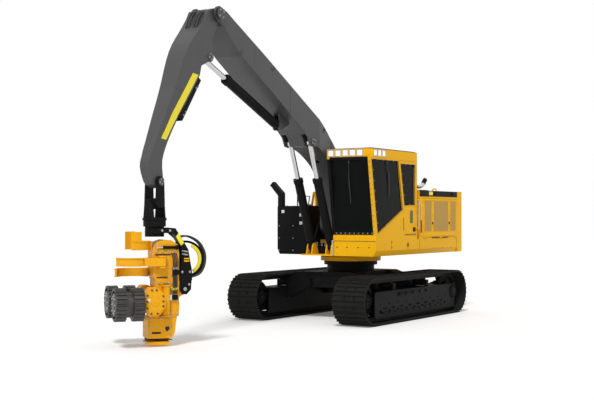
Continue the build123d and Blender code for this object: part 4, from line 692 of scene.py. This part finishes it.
# Hood: plain yellow plate, anti-slip strips along the top and two pull latches at its left edge.
# The strips are grit in resin, laid across the hood's width.
sign_yellow = weathered("sign_yellow", (0.92, 0.78, 0.01), (0.84, 0.7, 0.02), (0.4, 0.3, 0.1), 0.12, 8.0, 0.3,
                        0.45)
fitted(slab("hood_plate", at(-1390, 1411.5, 2772), at(-1195, 1414, 2858), (0, 1, 0), 0.008, -0.0008, 0.001),
       sign_yellow,
       "hood")
grit = weathered("grit_strip", (0.03, 0.03, 0.03), (0.05, 0.05, 0.05), (0.12, 0.11, 0.1), 0.4, 60.0, 0.85,
                 0.98, bump=0.8)
strips = [slab("strip", at(-2700, y - 90, 2881), at(-1260, y + 90, 2884), (0, 0, 1), 0.01, 0.001, 0.001)
          for y in (-1150, -690, -230, 230, 690, 1150)]
fitted(joined("hood_grip_strips", strips), grit, "hood")
latches = []
for x in (-1500, -2450):
    latches.append(slab("latch", at(x - 30, 1411, 2775), at(x + 30, 1419, 2850), (0, 1, 0), 0.008, -0.002,
                        0.002))
    latches.append(tube("latch", at(x, 1422, 2782), at(x, 1422, 2842), 0.008, 12))
fitted(joined("hood_latches", latches), black_enamel, "hood")

# Belt round the deck: oval access hole with a folded rim, tie-down holes and panel joints, all cut into the
# painted plate.
# Here the holes are dark discs laid on the plate, painted shade in place of openings; the joints are dark
# lines.
def arc(radius, degrees, rise=None):
    """Pairs along a circle about the origin, or along an oval with a height of its own."""
    rise = radius if rise is None else rise
    return [(radius * math.cos(math.radians(a)), rise * math.sin(math.radians(a))) for a in degrees]


ring = [at(-95 + u, 1419, 1640 + v) for u, v in arc(48, range(0, 360, 15), 78)]
fitted(trim("belt_hole_rim", ring, 0.007), yellow_enamel, "upper")
bpy.ops.object.select_all(action="DESELECT")
bpy.ops.mesh.primitive_cylinder_add(vertices=32, radius=0.047, depth=0.004, location=at(-95, 1418, 1640),
                                    rotation=(math.radians(90), 0, 0))
hole_face = bpy.context.object
hole_face.name = "belt_hole"
hole_face.scale = (1, 1, 1.62)
bpy.ops.object.transform_apply(location=False, rotation=True, scale=True)
bpy.ops.object.transform_apply(location=True, rotation=True, scale=True)
fitted(softened(hole_face, 0.001), seam_dark_and_painted_shade, "upper")
holes = []
for y in (460, 710, 980, 1250):
    holes.append(tube("hole", at(1389, y, 1612), at(1393, y, 1612), 0.016, 16))
for z in (1720, 1610):
    holes.append(tube("hole", at(660, 1416, z), at(660, 1420, z), 0.014, 16))
for x in (-1450, -1900, -2350):
    holes.append(tube("hole", at(x, 1416, 1540), at(x, 1420, 1540), 0.012, 16))
fitted(joined("belt_holes", holes), seam_dark_and_painted_shade, "upper")
seam = [trim("seam", [at(x, 1418, 1548), at(x, 1418, 1756)], 0.003, False) for x in (690, -690, -2700)]
seam.append(trim("seam", [at(1391, y, 1745) for y in (370, 1405)], 0.005, False))
fitted(joined("belt_seams", seam), seam_dark_and_painted_shade, "upper")

# Felling head, left side: bolted cover on the motor housing, inspection plate, valve block with
# its fittings, knife cylinders and the small box of the measuring gear. All is cut and folded steel.
head_place = (Matrix.Translation(at(6950, 0, 0)) @ Matrix.Rotation(math.radians(-38), 4, "Z")
              @ Matrix.Translation((-0.028, 0, 0)))
beside = Matrix(((1, 0, 0, 0), (0, 0, -1, 0), (0, 1, 0, 0), (0, 0, 0, 1)))


def mm(x, y, z):
    """Point in the head's own directions, before it is turned with the rotator."""
    return Vector((x, y, z)) / 1000


def on_head(piece):
    """Turns a piece drawn in the head's own directions into its place."""
    alone(piece)
    piece.matrix_world = head_place
    bpy.ops.object.transform_apply(location=True, rotation=True, scale=True)
    return piece


def cut_plate(name, outline, thick, edge, place):
    """Plate cut to an outline in millimetres, with rolled edges, laid in a plane."""
    path = bpy.data.curves.new(name, "CURVE")
    path.dimensions = "2D"
    path.fill_mode = "BOTH"
    run = path.splines.new("POLY")
    run.points.add(len(outline) - 1)
    for point, corner in zip(run.points, outline):
        point.co = (corner[0] / 1000, corner[1] / 1000, 0, 1)
    run.use_cyclic_u = True
    path.extrude = thick / 2000
    path.bevel_depth = edge / 1000
    path.bevel_resolution = 1
    piece = meshed(name, path)
    bpy.ops.object.mode_set(mode="EDIT")
    bpy.ops.mesh.select_all(action="SELECT")
    bpy.ops.mesh.remove_doubles(threshold=0.0001)
    bpy.ops.mesh.normals_make_consistent(inside=False)
    bpy.ops.object.mode_set(mode="OBJECT")
    piece.matrix_world = place
    bpy.ops.object.transform_apply(location=True, rotation=True, scale=True)
    bpy.ops.object.shade_smooth_by_angle(angle=math.radians(35))
    return piece


def ring_of(centre, axis, radius, count, start=0.0):
    """Places evenly round a circle about a point."""
    turn = Vector((0, 0, 1)).rotation_difference(Vector(axis))
    return [centre + turn @ Vector((radius * math.cos(start + 2 * math.pi * n / count),
                                    radius * math.sin(start + 2 * math.pi * n / count), 0))
            for n in range(count)]


cover_outline = [(-38, 715), (72, 585), (196, 585), (275, 690), (275, 930), (185, 1027), (92, 1027),
                 (-38, 918)]
for side, body in ((1, "left_feed_arm"), (-1, "right_feed_arm")):
    word = "left" if side > 0 else "right"
    plate_place = Matrix.Translation((0, side * 0.515, 0)) @ beside
    fitted(on_head(cut_plate(word + "_motor_cover", cover_outline, 6, 2, plate_place)), head_enamel,
           body)
    spots = [mm(x, side * 521, z) for x, z in ((-20, 730), (80, 605), (188, 605), (257, 700), (257, 815),
                                               (257, 920),
                                               (178, 1008), (98, 1008), (-20, 905), (-20, 815))]
    fitted(on_head(bolts(word + "_cover_bolts", spots, (0, side, 0), 0.026)), roller_steel,
           body)
    dish = tube("dish", mm(120, side * 518, 805), mm(120, side * 528, 805), 0.075, 32)
    plug = tube("plug", mm(120, side * 528, 805), mm(120, side * 534, 805), 0.022, 6)
    fitted(on_head(joined(word + "_motor_cap", [dish, plug])), head_enamel, body)
    hub = [tube("cap", mm(-120, side * 310, 1091), mm(-120, side * 310, 1104), 0.045, 24),
           tube("cap", mm(-120, side * 310, 506), mm(-120, side * 310, 519), 0.045, 24)]
    fitted(on_head(joined(word + "_arm_pin_caps", hub)), roller_steel, "head")
    roller = "left_feed_roller" if side > 0 else "right_feed_roller"
    boss = tube("boss", mm(805, side * 370, 760), mm(818, side * 370, 760), 0.085, 32)
    fitted(on_head(joined(word + "_roller_boss", [boss])), roller_steel, roller)
    ends = ring_of(mm(811, side * 370, 760), (1, 0, 0), 0.145, 8)
    fitted(on_head(bolts(word + "_roller_bolts", ends, (1, 0, 0), 0.03)), screw_steel, roller)
white_sign = weathered("white_sign", (0.80, 0.80, 0.78), (0.68, 0.67, 0.63), (0.3, 0.27, 0.22), 0.25, 14.0,
                       0.35, 0.5)
fitted(on_head(slab("cover_sign", mm(205, 519, 815), mm(252, 522, 865), (0, 1, 0), 0.004, -0.0005, 0.001)),
       white_sign,
       "left_feed_arm")

side_fit = [slab("plate", mm(-330, 238, 1100), mm(-210, 246, 1390), (0, 1, 0), 0.015, 0.004),
            slab("plate", mm(-190, 238, 1090), mm(20, 245, 1190), (0, 1, 0), 0.012, 0.003),
            slab("plate", mm(-330, 238, 560), mm(-215, 246, 1040), (0, 1, 0), 0.012, 0.004),
            slab("plate", mm(-300, 238, 1620), mm(60, 246, 1700), (0, 1, 0), 0.012, 0.003),
            slab("plate", mm(-330, -246, 560), mm(-215, -238, 1040), (0, -1, 0), 0.012, 0.004),
            slab("plate", mm(-330, -246, 1100), mm(20, -238, 1190), (0, -1, 0), 0.012, 0.004),
            slab("plate", mm(-300, -246, 1420), mm(60, -238, 1700), (0, -1, 0), 0.012, 0.003)]
fitted(on_head(joined("head_side_plates", side_fit)), head_enamel, "head")
spots = [mm(x, 250, z) for x in (-318, -222) for z in (575, 800, 1025, 1115, 1245, 1375)]
spots += [mm(x, 249, 1112) for x in (-170, -85, 0)] + [mm(x, 249, 1660) for x in (-280, -170, -60, 40)]
fitted(on_head(bolts("head_side_bolts_left", spots, (0, 1, 0), 0.026)), screw_steel, "head")
spots = [mm(x, -250, z) for x in (-318, -222)
         for z in (575, 800, 1025)] + [mm(x, -250, 1145) for x in (-300, -150, 0)]
spots += [mm(x, -250, z) for x in (-280, -120, 40) for z in (1440, 1680)]
fitted(on_head(bolts("head_side_bolts_right", spots, (0, -1, 0), 0.026)), screw_steel, "head")

# Slots in the head's plates are dark strips laid on them, painted shade in place of openings.
dark = [slab("slot", mm(-210, 243, 1598), mm(70, 249, 1622), edge=0.003),
        slab("slot", mm(-150, 243, 1200), mm(40, 247, 1222), edge=0.003),
        slab("slot", mm(99, -110, 1480), mm(103, 110, 1560), edge=0.003),
        slab("slot", mm(60, -90, 760), mm(64, 90, 1040), edge=0.003)]
fitted(on_head(joined("head_slots", dark)), seam_dark_and_painted_shade, "head")
for side, word, z in ((1, "left", 1735), (-1, "right", 1560)):
    barrel = [tube("barrel", mm(-300, side * 268, z), mm(-95, side * 268, z), 0.026),
              tube("gland", mm(-95, side * 268, z), mm(-70, side * 268, z), 0.031),
              tube("eye", mm(-318, side * 268, z - 26), mm(-318, side * 268, z + 26), 0.03),
              slab("foot", mm(-340, side * 254 - 14, z - 40), mm(-296, side * 254 + 14, z - 24)),
              slab("foot", mm(-340, side * 254 - 14, z + 24), mm(-296, side * 254 + 14, z + 40))]
    fitted(on_head(joined(word + "_knife_cylinder", barrel)), black_enamel, "head")
    rod = [tube("rod", mm(-70, side * 268, z), mm(20, side * 268, z), 0.014),
           tube("eye", mm(34, side * 268, z - 18), mm(34, side * 268, z + 18), 0.024)]
    fitted(on_head(joined(word + "_knife_cylinder_rod", rod)), rod_chrome, "head")

valve = [slab("valve", mm(-345, 250, 1255), mm(-235, 302, 1345), (0, 1, 0), 0.012, 0.004),
         slab("valve", mm(-330, 250, 820), mm(-225, 300, 905), (0, 1, 0), 0.01, 0.004)]
fitted(on_head(joined("head_valve_blocks", valve)), black_enamel, "head")
fitted(on_head(slab("sensor_box", mm(-222, 248, 812), mm(-172, 296, 908), (0, 1, 0), 0.008, 0.004)),
       white_sign,
       "head")
fits = []
for number in range(4):
    fits.append(tube("fitting", mm(-330 + number * 27, 276, 1345), mm(-330 + number * 27, 276, 1372), 0.011,
                     6))
    fits.append(tube("fitting", mm(-330 + number * 27, 276, 1372), mm(-330 + number * 27, 276, 1392), 0.0085,
                     12))
    fits.append(tube("fitting", mm(-318 + number * 26, 276, 905), mm(-318 + number * 26, 276, 925), 0.01, 6))
fitted(on_head(joined("head_fittings", fits)), screw_steel, "head")


def hose(name, corners, thick):
    """Hose or pipe on one smooth line through its corners."""
    path = bpy.data.curves.new(name, "CURVE")
    path.dimensions = "3D"
    run = path.splines.new("NURBS")
    run.points.add(len(corners) - 1)
    for point, corner in zip(run.points, corners):
        point.co = (*corner, 1)
    run.order_u = 3
    run.use_endpoint_u = True
    run.resolution_u = 6
    path.bevel_depth = thick
    path.bevel_resolution = 3
    path.use_fill_caps = True
    piece = meshed(name, path)
    bpy.ops.object.shade_smooth()
    return piece


runs = []
for number in range(4):
    x = -330 + number * 27
    runs.append(hose("hose", [mm(x, 276, 1388), mm(x, 276, 1440), mm(x - 6, 268, 1500), mm(x + 10, 258, 1590),
                              mm(x + 30, 252, 1640)], 0.009))
    runs.append(hose("hose", [mm(-318 + number * 26, 276, 922), mm(-316 + number * 24, 276, 980),
                              mm(-318 + number * 20, 270, 1060),
                              mm(-318 + number * 22, 274, 1160), mm(-316 + number * 24, 276, 1262)], 0.009))
runs.append(hose("hose", [mm(-335, 262, 1012), mm(-270, 268, 1010), mm(-205, 268, 1000), mm(-165, 262, 960)],
                 0.015))
fitted(on_head(joined("head_hoses", runs)), rubber, "head")
coil = []
turns = 6
for step in range(61):
    share = step / 60
    angle = 2 * math.pi * turns * share
    coil.append(mm(-328 + 150 * share, 266 + 22 * math.cos(angle), 1010 - 12 * share + 22 * math.sin(angle)))
fitted(on_head(hose("hose_spiral", coil, 0.0065)), sign_yellow, "head")

# Knives: rolled ribs along both edges of the blades, where they are welded up.
# Steel caps close the side knives' pins above and below.
for word, body, low, high in (("left", "left_knife", 1410, 1560), ("right", "right_knife", 1215, 1365)):
    side = 1 if word == "left" else -1
    ribs = []
    for z in (low + 14, high - 14):
        ribs.append(hose("rib", [mm(420 + u, side * v, z) for u, v in arc(312, range(16, 150, 12))], 0.011))
    fitted(on_head(joined(word + "_knife_ribs", ribs)), head_enamel, body)
    cap = [tube("cap", mm(-50, side * 310, high + 29), mm(-50, side * 310, high + 44), 0.042, 24),
           tube("cap", mm(-50, side * 310, low - 44), mm(-50, side * 310, low - 29), 0.042, 24)]
    fitted(on_head(joined(word + "_knife_pin_caps", cap)), roller_steel, "head")
ribs = [hose("rib", [mm(420 + u, v, z) for u, v in arc(317, range(80, 284, 12))], 0.011)
        for z in (1704, 1838)]
fitted(on_head(joined("top_knife_ribs", ribs)), head_enamel, "head")

# Saw box: bolted door with a hand slot, and a shield-shaped opening over the saw's motor.
# The motor itself stands at the back of the head.
door_parts = [slab("door", mm(-215, 218, 205), mm(165, 226, 505), (0, 1, 0), 0.02, 0.003)]
door_parts.append(slab("door", mm(-215, -226, 205), mm(165, -218, 505), (0, -1, 0), 0.02, 0.003))
fitted(on_head(joined("saw_box_doors", door_parts)), head_enamel, "head")
# The hand slot and the shield-shaped opening are dark plates laid on the door, painted shade in place of
# holes.
slots = [slab("slot", mm(-40, 228, 225), mm(120, 231, 262), edge=0.004),
         cut_plate("slot", [(-190, 350), (-120, 350), (-120, 300), (-150, 262), (-190, 300)], 2, 1,
                   Matrix.Translation((0, 0.2305, 0)) @ beside)]
fitted(on_head(joined("saw_box_slots", slots)), seam_dark_and_painted_shade, "head")
spots = [mm(x, 230, z) for x in (-200, 150) for z in (220, 355, 490)] + [mm(-25, 230, 490)]
fitted(on_head(bolts("saw_box_bolts", spots, (0, 1, 0), 0.024)), screw_steel, "head")
motor = [tube("motor", mm(-372, 0, 620), mm(-372, 0, 760), 0.05, 24),
         slab("motor", mm(-380, -120, 560), mm(-358, 120, 600))]
fitted(on_head(joined("saw_motor", motor)), head_enamel, "head")

# Tilt bracket: plain yellow plate, silver couplings with clamps, and four hoses in their guard.
# The guard is lined with a yellow band.
slant = [(-352, 1982), (-305, 1925), (-398, 1765), (-452, 1812)]
fitted(on_head(cut_plate("bracket_plate", slant, 1.5, 0.5, Matrix.Translation((0, 0.2325, 0)) @ beside)),
       sign_yellow,
       "bracket")
silver = []
for number, z in enumerate((1600, 1655)):
    silver.append(tube("coupling", mm(-520, 236, z), mm(-440, 252, z + 14), 0.017, 6))
    silver.append(tube("coupling", mm(-440, 252, z + 14), mm(-405, 258, z + 20), 0.013, 16))
silver += [tube("pin_cap", mm(-470, 241, 1000), mm(-470, 252, 1000), 0.034, 24),
           tube("pin_cap", mm(-470, -252, 1000), mm(-470, -241, 1000), 0.034, 24)]
fitted(on_head(joined("bracket_couplings", silver)), screw_steel, "bracket")
clamps = [slab("clamp", mm(-545, 231, 1480 + n * 42), mm(-450, 250, 1504 + n * 42), (0, 1, 0), 0.006, 0.003)
          for n in range(2)]
fitted(on_head(joined("bracket_clamps", clamps)), yellow_enamel, "bracket")
fitted(on_head(bolts("bracket_bolts", [mm(x, 231, z) for x, z in ((-60, 2030), (-200, 2030), (-560, 1300),
                                                                  (-420, 1300), (-545, 1080))],
                     (0, 1, 0), 0.03)), screw_steel, "bracket")
lines = []
for y in (-84, -48, 48, 84):
    lines.append(hose("line", [mm(-400, y, 1905), mm(-470, y, 1935), mm(-600, y, 1925), mm(-770, y, 1830),
                               mm(-868, y, 1660), mm(-885, y, 1500),
                               mm(-840, y, 1330), mm(-740, y, 1220), mm(-580, y, 1195)], 0.017))
fitted(on_head(joined("bracket_hoses", lines)), rubber, "bracket")
band = [(-530 + u, 1520 + v) for u, v in arc(286, range(116, 238, 8)) + arc(238, range(236, 114, -8))]
fitted(on_head(cut_plate("guard_lining", band, 60, 3, beside)), sign_yellow, "bracket")

# Black cover behind the cab, with the exhaust's outlet: a silver cross pipe that turns up at the
# left edge into a black tip, leaning to the rear.
cover = [slab("cover", at(-1172, 1412, 2735), at(-700, 1417, 2878), (0, 1, 0), 0.012, 0.002),
         slab("cover", at(-1172, 780, 2881), at(-700, 1408, 2887), (0, 0, 1), 0.02, 0.002),
         slab("cover", at(-1172, -1408, 2881), at(-700, 600, 2887), (0, 0, 1), 0.02, 0.002)]
fitted(joined("stack_cover", cover), black_enamel, "upper")
outlet = [hose("outlet", [at(-905, 712, 2960), at(-900, 900, 2962), at(-925, 1200, 2962),
                          at(-960, 1300, 2965), at(-1010, 1330, 3000),
                          at(-1040, 1332, 3030)], 0.047), tube("collar", at(-905, 735, 2960),
                                                               at(-905, 765, 2960), 0.056)]
fitted(joined("exhaust_outlet", outlet), lamp_alloy, "upper")
fitted(tube("exhaust_tip", at(-1035, 1332, 3025), at(-1150, 1334, 3140), 0.052), black_enamel,
       "upper")

# Tracks: four bolts on every shoe, bolted caps on the hubs, fixing bolts of the rollers and the
# guard plates on both frames.
run = 4055
bend = 475
idler_x = 1948
sprocket_x = idler_x - run
axle_z = 505
shoe_count = 55
shoe_lead = 0.38
half_loop = run + math.pi * bend
pitch = 2 * half_loop / shoe_count
spots = []
headings = []
for shoe in range(shoe_count):
    for share in (0.33, 0.52):
        travel = ((shoe + share + shoe_lead) * pitch) % (shoe_count * pitch)
        rear = travel < half_loop
        along = travel if rear else travel - half_loop
        if along < run:
            x = idler_x - along if rear else sprocket_x + along
            z = axle_z + bend if rear else axle_z - bend
            way = (0, 0, 1 if rear else -1)
        else:
            angle = math.pi * (0.5 if rear else 1.5) + (along - run) / bend
            x = (sprocket_x if rear else idler_x) + bend * math.cos(angle)
            z, way = axle_z + bend * math.sin(angle), (math.cos(angle), 0, math.sin(angle))
        for y in (1222, 1448):
            spots.append(at(x, y, z))
            headings.append(way)
shoe_bolts = bolts("shoe_bolts_left", spots, headings, 0.03)
fitted(shoe_bolts, track_steel, "undercarriage")
shoe_bolts = bolts("shoe_bolts_right", [Vector((spot.x, -spot.y, spot.z)) for spot in spots], headings, 0.03)
fitted(shoe_bolts, track_steel, "undercarriage")
for side, word in ((1, "left"), (-1, "right")):
    caps = [tube("cap", at(sprocket_x, side * 1586, axle_z), at(sprocket_x, side * 1600, axle_z), 0.17, 40),
            tube("cap", at(sprocket_x, side * 1600, axle_z), at(sprocket_x, side * 1612, axle_z), 0.09, 32),
            slab("guard", at(-1500, side * 1595.5 - 9, 215), at(1450, side * 1595.5 + 9, 262), edge=0.005),
            slab("guard", at(-700, side * 1590 - 4, 560), at(700, side * 1590 + 4, 640), edge=0.004)]
    fitted(joined(word + "_hub_caps", caps), black_enamel, "undercarriage")
    spots = ring_of(at(sprocket_x, side * 1601, axle_z), (0, 1, 0), 0.135, 10)
    spots += [at(x, side * 1605, 238) for x in range(-1420, 1421, 284)]
    spots += [at(x, side * 1595, z) for x in (-660, -330, 0, 330, 660) for z in (580, 620)]
    for number in range(8):
        x = 1690 - (number + 1) * 392.2
        spots += [at(x + step, side * 1586, 330) for step in (-42, 42)]
    fitted(bolts(word + "_frame_bolts", spots, (0, side, 0), 0.032), black_enamel,
           "undercarriage")
    ends = ring_of(at(idler_x, side * 1527, axle_z), (0, 1, 0), 0.105, 8)
    fitted(bolts(word + "_idler_bolts", ends, (0, side, 0), 0.028), black_enamel,
           "undercarriage")
carbody_bits = [slab("plate", at(1036, y - 160, 770), at(1044, y + 160, 985), (1, 0, 0), 0.014, 0.003)
                for y in (-330, 330)]
carbody_bits.append(slab("plate", at(1036, -60, 800), at(1042, 60, 960), (1, 0, 0), 0.01, -0.002))
fitted(joined("carbody_covers", carbody_bits), black_enamel, "undercarriage")
spots = [at(1045, y + step, z) for y in (-330, 330) for step in (-140, 0, 140) for z in (790, 965)]
fitted(bolts("carbody_bolts", spots, (1, 0, 0), 0.028), black_enamel, "undercarriage")
signs = [slab("label", at(1045.5, 262, 850), at(1047, 398, 905), (1, 0, 0), 0.004, -0.0003, 0.0008),
         slab("label", at(1045.5, -398, 850), at(1047, -262, 905), (1, 0, 0), 0.004, -0.0003, 0.0008)]
fitted(joined("carbody_labels", signs), white_sign, "undercarriage")

# Front tank: pressed top rim with bolts, filler cap, hinge-down step treads and blank labels.
# Its fittings are painted black with it; the labels are white.
rim = [slab("rim", at(160, -1282, 2511), at(1092, -1230, 2520), edge=0.003),
       slab("rim", at(160, -500, 2511), at(575, -448, 2520), edge=0.003),
       slab("rim", at(625, -500, 2511), at(1092, -448, 2520), edge=0.003),
       slab("tread", at(640, -1200, 2511), at(960, -720, 2517), (0, 0, 1), 0.02, 0.002),
       slab("panel", at(1101, -1250, 1500), at(1106, -480, 2080), (1, 0, 0), 0.03, 0.003),
       slab("panel", at(250, -1297, 1500), at(1000, -1291, 2400), (0, -1, 0), 0.03, 0.003)]
rim += [tube("cap", at(380, -900, 2511), at(380, -900, 2548), 0.075, 28),
        tube("cap", at(380, -900, 2548), at(380, -900, 2558), 0.06, 28)]
fitted(joined("tank_fittings", rim), black_enamel, "upper")
labels = [slab("label", at(1101, y - 38, z - 34), at(1103, y + 38, z + 34), (1, 0, 0), 0.004, -0.0004, 0.0008)
          for y, z in ((-1140, 2390), (-660, 2310), (-660, 2130))]
fitted(joined("tank_labels", labels), white_sign, "upper")
spots = [at(x, y, 2520) for x in (200, 450, 740, 1050) for y in (-1256, -474)]
fitted(bolts("tank_bolts", spots, (0, 0, 1), 0.022), screw_steel, "upper")
fitted(bolts("panel_bolts", [at(1107, y, z) for y in (-1236, -865, -494) for z in (1514, 1790, 2066)],
             (1, 0, 0), 0.02), screw_steel,
       "upper")

# Boom tower: round keepers over the boom's foot pin, square keepers on its front plate, and two
# rows of bolts above those.
tower = [tube("keeper", at(780, side * 322, 2050), at(780, side * 332, 2050), 0.11, 36) for side in (-1, 1)]
tower += [slab("keeper", at(1122, y - 55, 1500), at(1130, y + 55, 1590), (1, 0, 0), 0.01, 0.002)
          for y in (-250, 250)]
fitted(joined("tower_keepers", tower), black_enamel, "upper")
spots = [at(1124, y, z) for y in (-280, -210, -90, 0, 90, 210, 280) for z in (1640, 1690)]
fitted(bolts("tower_bolts", spots, (1, 0, 0), 0.03), screw_steel, "upper")

# Boom: pin keepers, lifting rings, steel oil lines along its back in their clamps, and welds.
# The lines end at the boom's tip, where the knee hoses start.
keepers = []
spots = {1: [], -1: []}
for side in (-1, 1):
    for x, z, y, radius in ((2170, 3860, 331, 0.085), (5420, 6080, 321, 0.115)):
        keepers.append(tube("keeper", at(x, side * y, z), at(x, side * (y + 12), z), radius, 36))
        spots[side] += ring_of(at(x, side * (y + 12), z), (0, 1, 0), radius * 0.68, 4, 0.6)
    for x, z, y in ((3690, 5235, 334), (1690, 4140, 304), (4730, 5440, 314)):
        ring = [at(x + u, side * y, z + v) for u, v in arc(42, range(0, 360, 20))]
        keepers.append(trim("ring", ring, 0.010))
    for x, y, low, high in ((3050, 330.5, 4330, 4945), (4330, 320.5, 5200, 5640)):
        keepers.append(trim("weld", [at(x, side * y, low), at(x, side * y, high)], 0.0045, False))
fitted(joined("boom_keepers", keepers), black_enamel_painted_lit, "main_boom")
for side, word in ((1, "left"), (-1, "right")):
    fitted(bolts(word + "_boom_bolts", spots[side], (0, side, 0), 0.03), screw_steel,
           "main_boom")


boom_slope = 0.5423


def boom_back(x):
    """Height of the boom's back along its straight part."""
    return 4728.2 + boom_slope * (x - 2600)


lines = []
clamps = []
for y in (-150, -95, -40, 40, 95, 150):
    lines.append(hose("line", [at(1760, y, boom_back(1760) + 45), at(2600, y, boom_back(2600) + 34),
                               at(4000, y, boom_back(4000) + 34),
                               at(5050, y, boom_back(5050) + 34), at(5210, y, boom_back(5180) + 10)], 0.014))
for x in (1950, 2750, 3550, 4350, 5000):
    for side in (-1, 1):
        bar = slab("clamp", at(x - 22, side * 95 - 78, 0), at(x + 22, side * 95 + 78, 46), edge=0.004)
        seat = Matrix.Translation(at(x, 0, boom_back(x) + 3))
        tilt = Matrix.Rotation(-math.atan(boom_slope), 4, "Y")
        bar.matrix_world = seat @ tilt @ Matrix.Translation(-at(x, 0, 0))
        clamps.append(bar)
fitted(joined("boom_lines", lines), black_enamel, "main_boom")
fitted(joined("boom_clamps", clamps), rubber, "main_boom")

# Stick: long plain yellow plate on its left face, keepers at its pins and bolted guard feet. The
# plate follows the stick's side, 2.5 mm clear of it.
def stick_face(x, z):
    """Outer left face of the stick at a point of its side view."""
    turn = nodes["stick"].matrix_world.inverted()
    hit, spot, _, _ = nodes["stick"].ray_cast(turn @ at(x, 3000, z), turn.to_3x3() @ Vector((0, -1, 0)))
    return (nodes["stick"].matrix_world @ spot).y * 1000 if hit else 150


corners = []
faces = []
for x, z in ((5945, 4880), (6035, 4750), (6140, 4600), (6315, 4350), (6490, 4100), (6655, 3850),
             (6785, 3640)):
    wide = 165 if z > 4000 else 140
    corners += [at(x, stick_face(x, z) + 2.5, z), at(x + wide, stick_face(x + wide, z + 20) + 2.5, z + 20)]
for row in range(len(corners) // 2 - 1):
    faces.append((2 * row, 2 * row + 2, 2 * row + 3, 2 * row + 1))
sheet_data = bpy.data.meshes.new("stick_plate")
sheet_data.from_pydata(corners, [], faces)
stick_plate = bpy.data.objects.new("stick_plate", sheet_data)
bpy.context.scene.collection.objects.link(stick_plate)
alone(stick_plate)
thick = stick_plate.modifiers.new("gauge", "SOLIDIFY")
thick.thickness = 0.002
bpy.ops.object.modifier_apply(modifier="gauge")
bpy.ops.object.mode_set(mode="EDIT")
bpy.ops.mesh.select_all(action="SELECT")
bpy.ops.mesh.normals_make_consistent(inside=False)
bpy.ops.object.mode_set(mode="OBJECT")
fitted(stick_plate, sign_yellow, "dipper")
keepers = []
spots = {1: [], -1: []}
for side in (-1, 1):
    for x, z, y, radius in ((5600, 5260, 213, 0.08), (6950, 2890, 148, 0.07)):
        keepers.append(tube("keeper", at(x, side * y, z), at(x, side * (y + 10), z), radius, 32))
        spots[side] += ring_of(at(x, side * (y + 10), z), (0, 1, 0), radius * 0.66, 4, 0.3)
    spots[side] += [at(x, side * 167, z) for x, z in ((5930, 4665), (5985, 4640), (6290, 4170), (6345, 4110))]
fitted(joined("stick_keepers", keepers), black_enamel_painted_lit, "dipper")
for side, word in ((1, "left"), (-1, "right")):
    fitted(bolts(word + "_stick_bolts", spots[side], (0, side, 0), 0.028), screw_steel,
           "dipper")

# Knee hoses: four black hoses in a low bow over the joint of boom and stick, from clamps on the
# boom's tip to bulkheads on the stick's front face.
for number, y in enumerate((-120, -60, 60, 120)):
    start = at(5210, y, boom_back(5180) + 10)
    end = at(5924, y, 5776)
    path = [start, at(5380, y, 6150 - 6 * number), at(5610, y, 6165 - 6 * number), at(5850, y, 6010), end]
    loop = hose("knee_hose_%d" % (number + 1), path, 0.017)
    loop.data.materials.append(rubber)
    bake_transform(loop)

# Right side and rear: doors of the pump room and the engine with louvres and locks, a grab rail,
# lifting eyes on the counterweight with its tail lamps and vents, and the screen in the cab.
doors = [slab("door", at(-470, -1417, 1800), at(-30, -1412, 2460), (0, -1, 0), 0.02, 0.003),
         slab("door", at(-1640, -1417, 1830), at(-800, -1412, 2660), (0, -1, 0), 0.025, 0.003),
         slab("door", at(-2660, -1417, 1830), at(-1720, -1412, 2660), (0, -1, 0), 0.025, 0.003)]
fitted(joined("right_doors", doors), yellow_enamel, "upper")
# The louvres are dark strips on the doors, painted shade of their slots between the blades.
slots = [slab("louvre", at(x, -1423, z), at(x + 560, -1416, z + 14), edge=0.002) for x in (-1500, -2470)
         for z in range(2060, 2520, 34)]
slots += [slab("louvre", at(-400, -1423, z), at(-110, -1416, z + 12), edge=0.002)
          for z in range(2150, 2360, 30)]
fitted(joined("right_louvres", slots), seam_dark_and_painted_shade, "upper")
locks = [slab("lock", at(x - 24, -1428, z - 36), at(x + 24, -1417, z + 36), (0, -1, 0), 0.008, -0.003) for x,
         z in
         ((-440, 2000), (-860, 1980), (-1790, 1980))]
locks += [trim("rail", [at(-440, -1430, 2510), at(-440, -1390, 2760), at(100, -1390, 2760),
                        at(100, -1390, 2512)], 0.014, False)]
fitted(joined("right_locks", locks), black_enamel, "upper")
eyes = []
for y in (-700, 700):
    ring = [at(-2960, y + u, 2915 + v) for u, v in arc(52, range(-30, 211, 16))]
    eyes.append(trim("eye", ring, 0.016, False))
    eyes.append(slab("eye", at(-3010, y - 75, 2881), at(-2910, y + 75, 2889), edge=0.003))
fitted(joined("lifting_eyes", eyes), yellow_enamel, "upper")
lamp_red = weathered("tail_lamp", (0.45, 0.01, 0.008), (0.4, 0.02, 0.01), (0.2, 0.02, 0.02), 0.2, 20.0, 0.1,
                     0.25, coat=0.5)
lamps = [slab("lamp", at(-3146, y - 70, 2440), at(-3126, y + 70, 2500), (-1, 0, 0), 0.008, -0.003)
         for y in (-1180, 1180)]
fitted(joined("tail_lamps", lamps), lamp_red, "upper")
# The counterweight's vents are dark slats, painted shade in its openings.
vents = [slab("vent", at(-3188, -500, z), at(-3178, 500, z + 16), edge=0.002) for z in range(1700, 1960, 42)]
fitted(joined("counterweight_vents", vents), seam_dark_and_painted_shade, "upper")
screen = [slab("screen", at(1180, 700, 2300), at(1200, 960, 2470), (-1, 0, 0), 0.012, -0.003),
          tube("stalk", at(1195, 830, 1810), at(1195, 830, 2300), 0.018)]
fitted(joined("cab_screen", screen), cab_plastic, "upper")
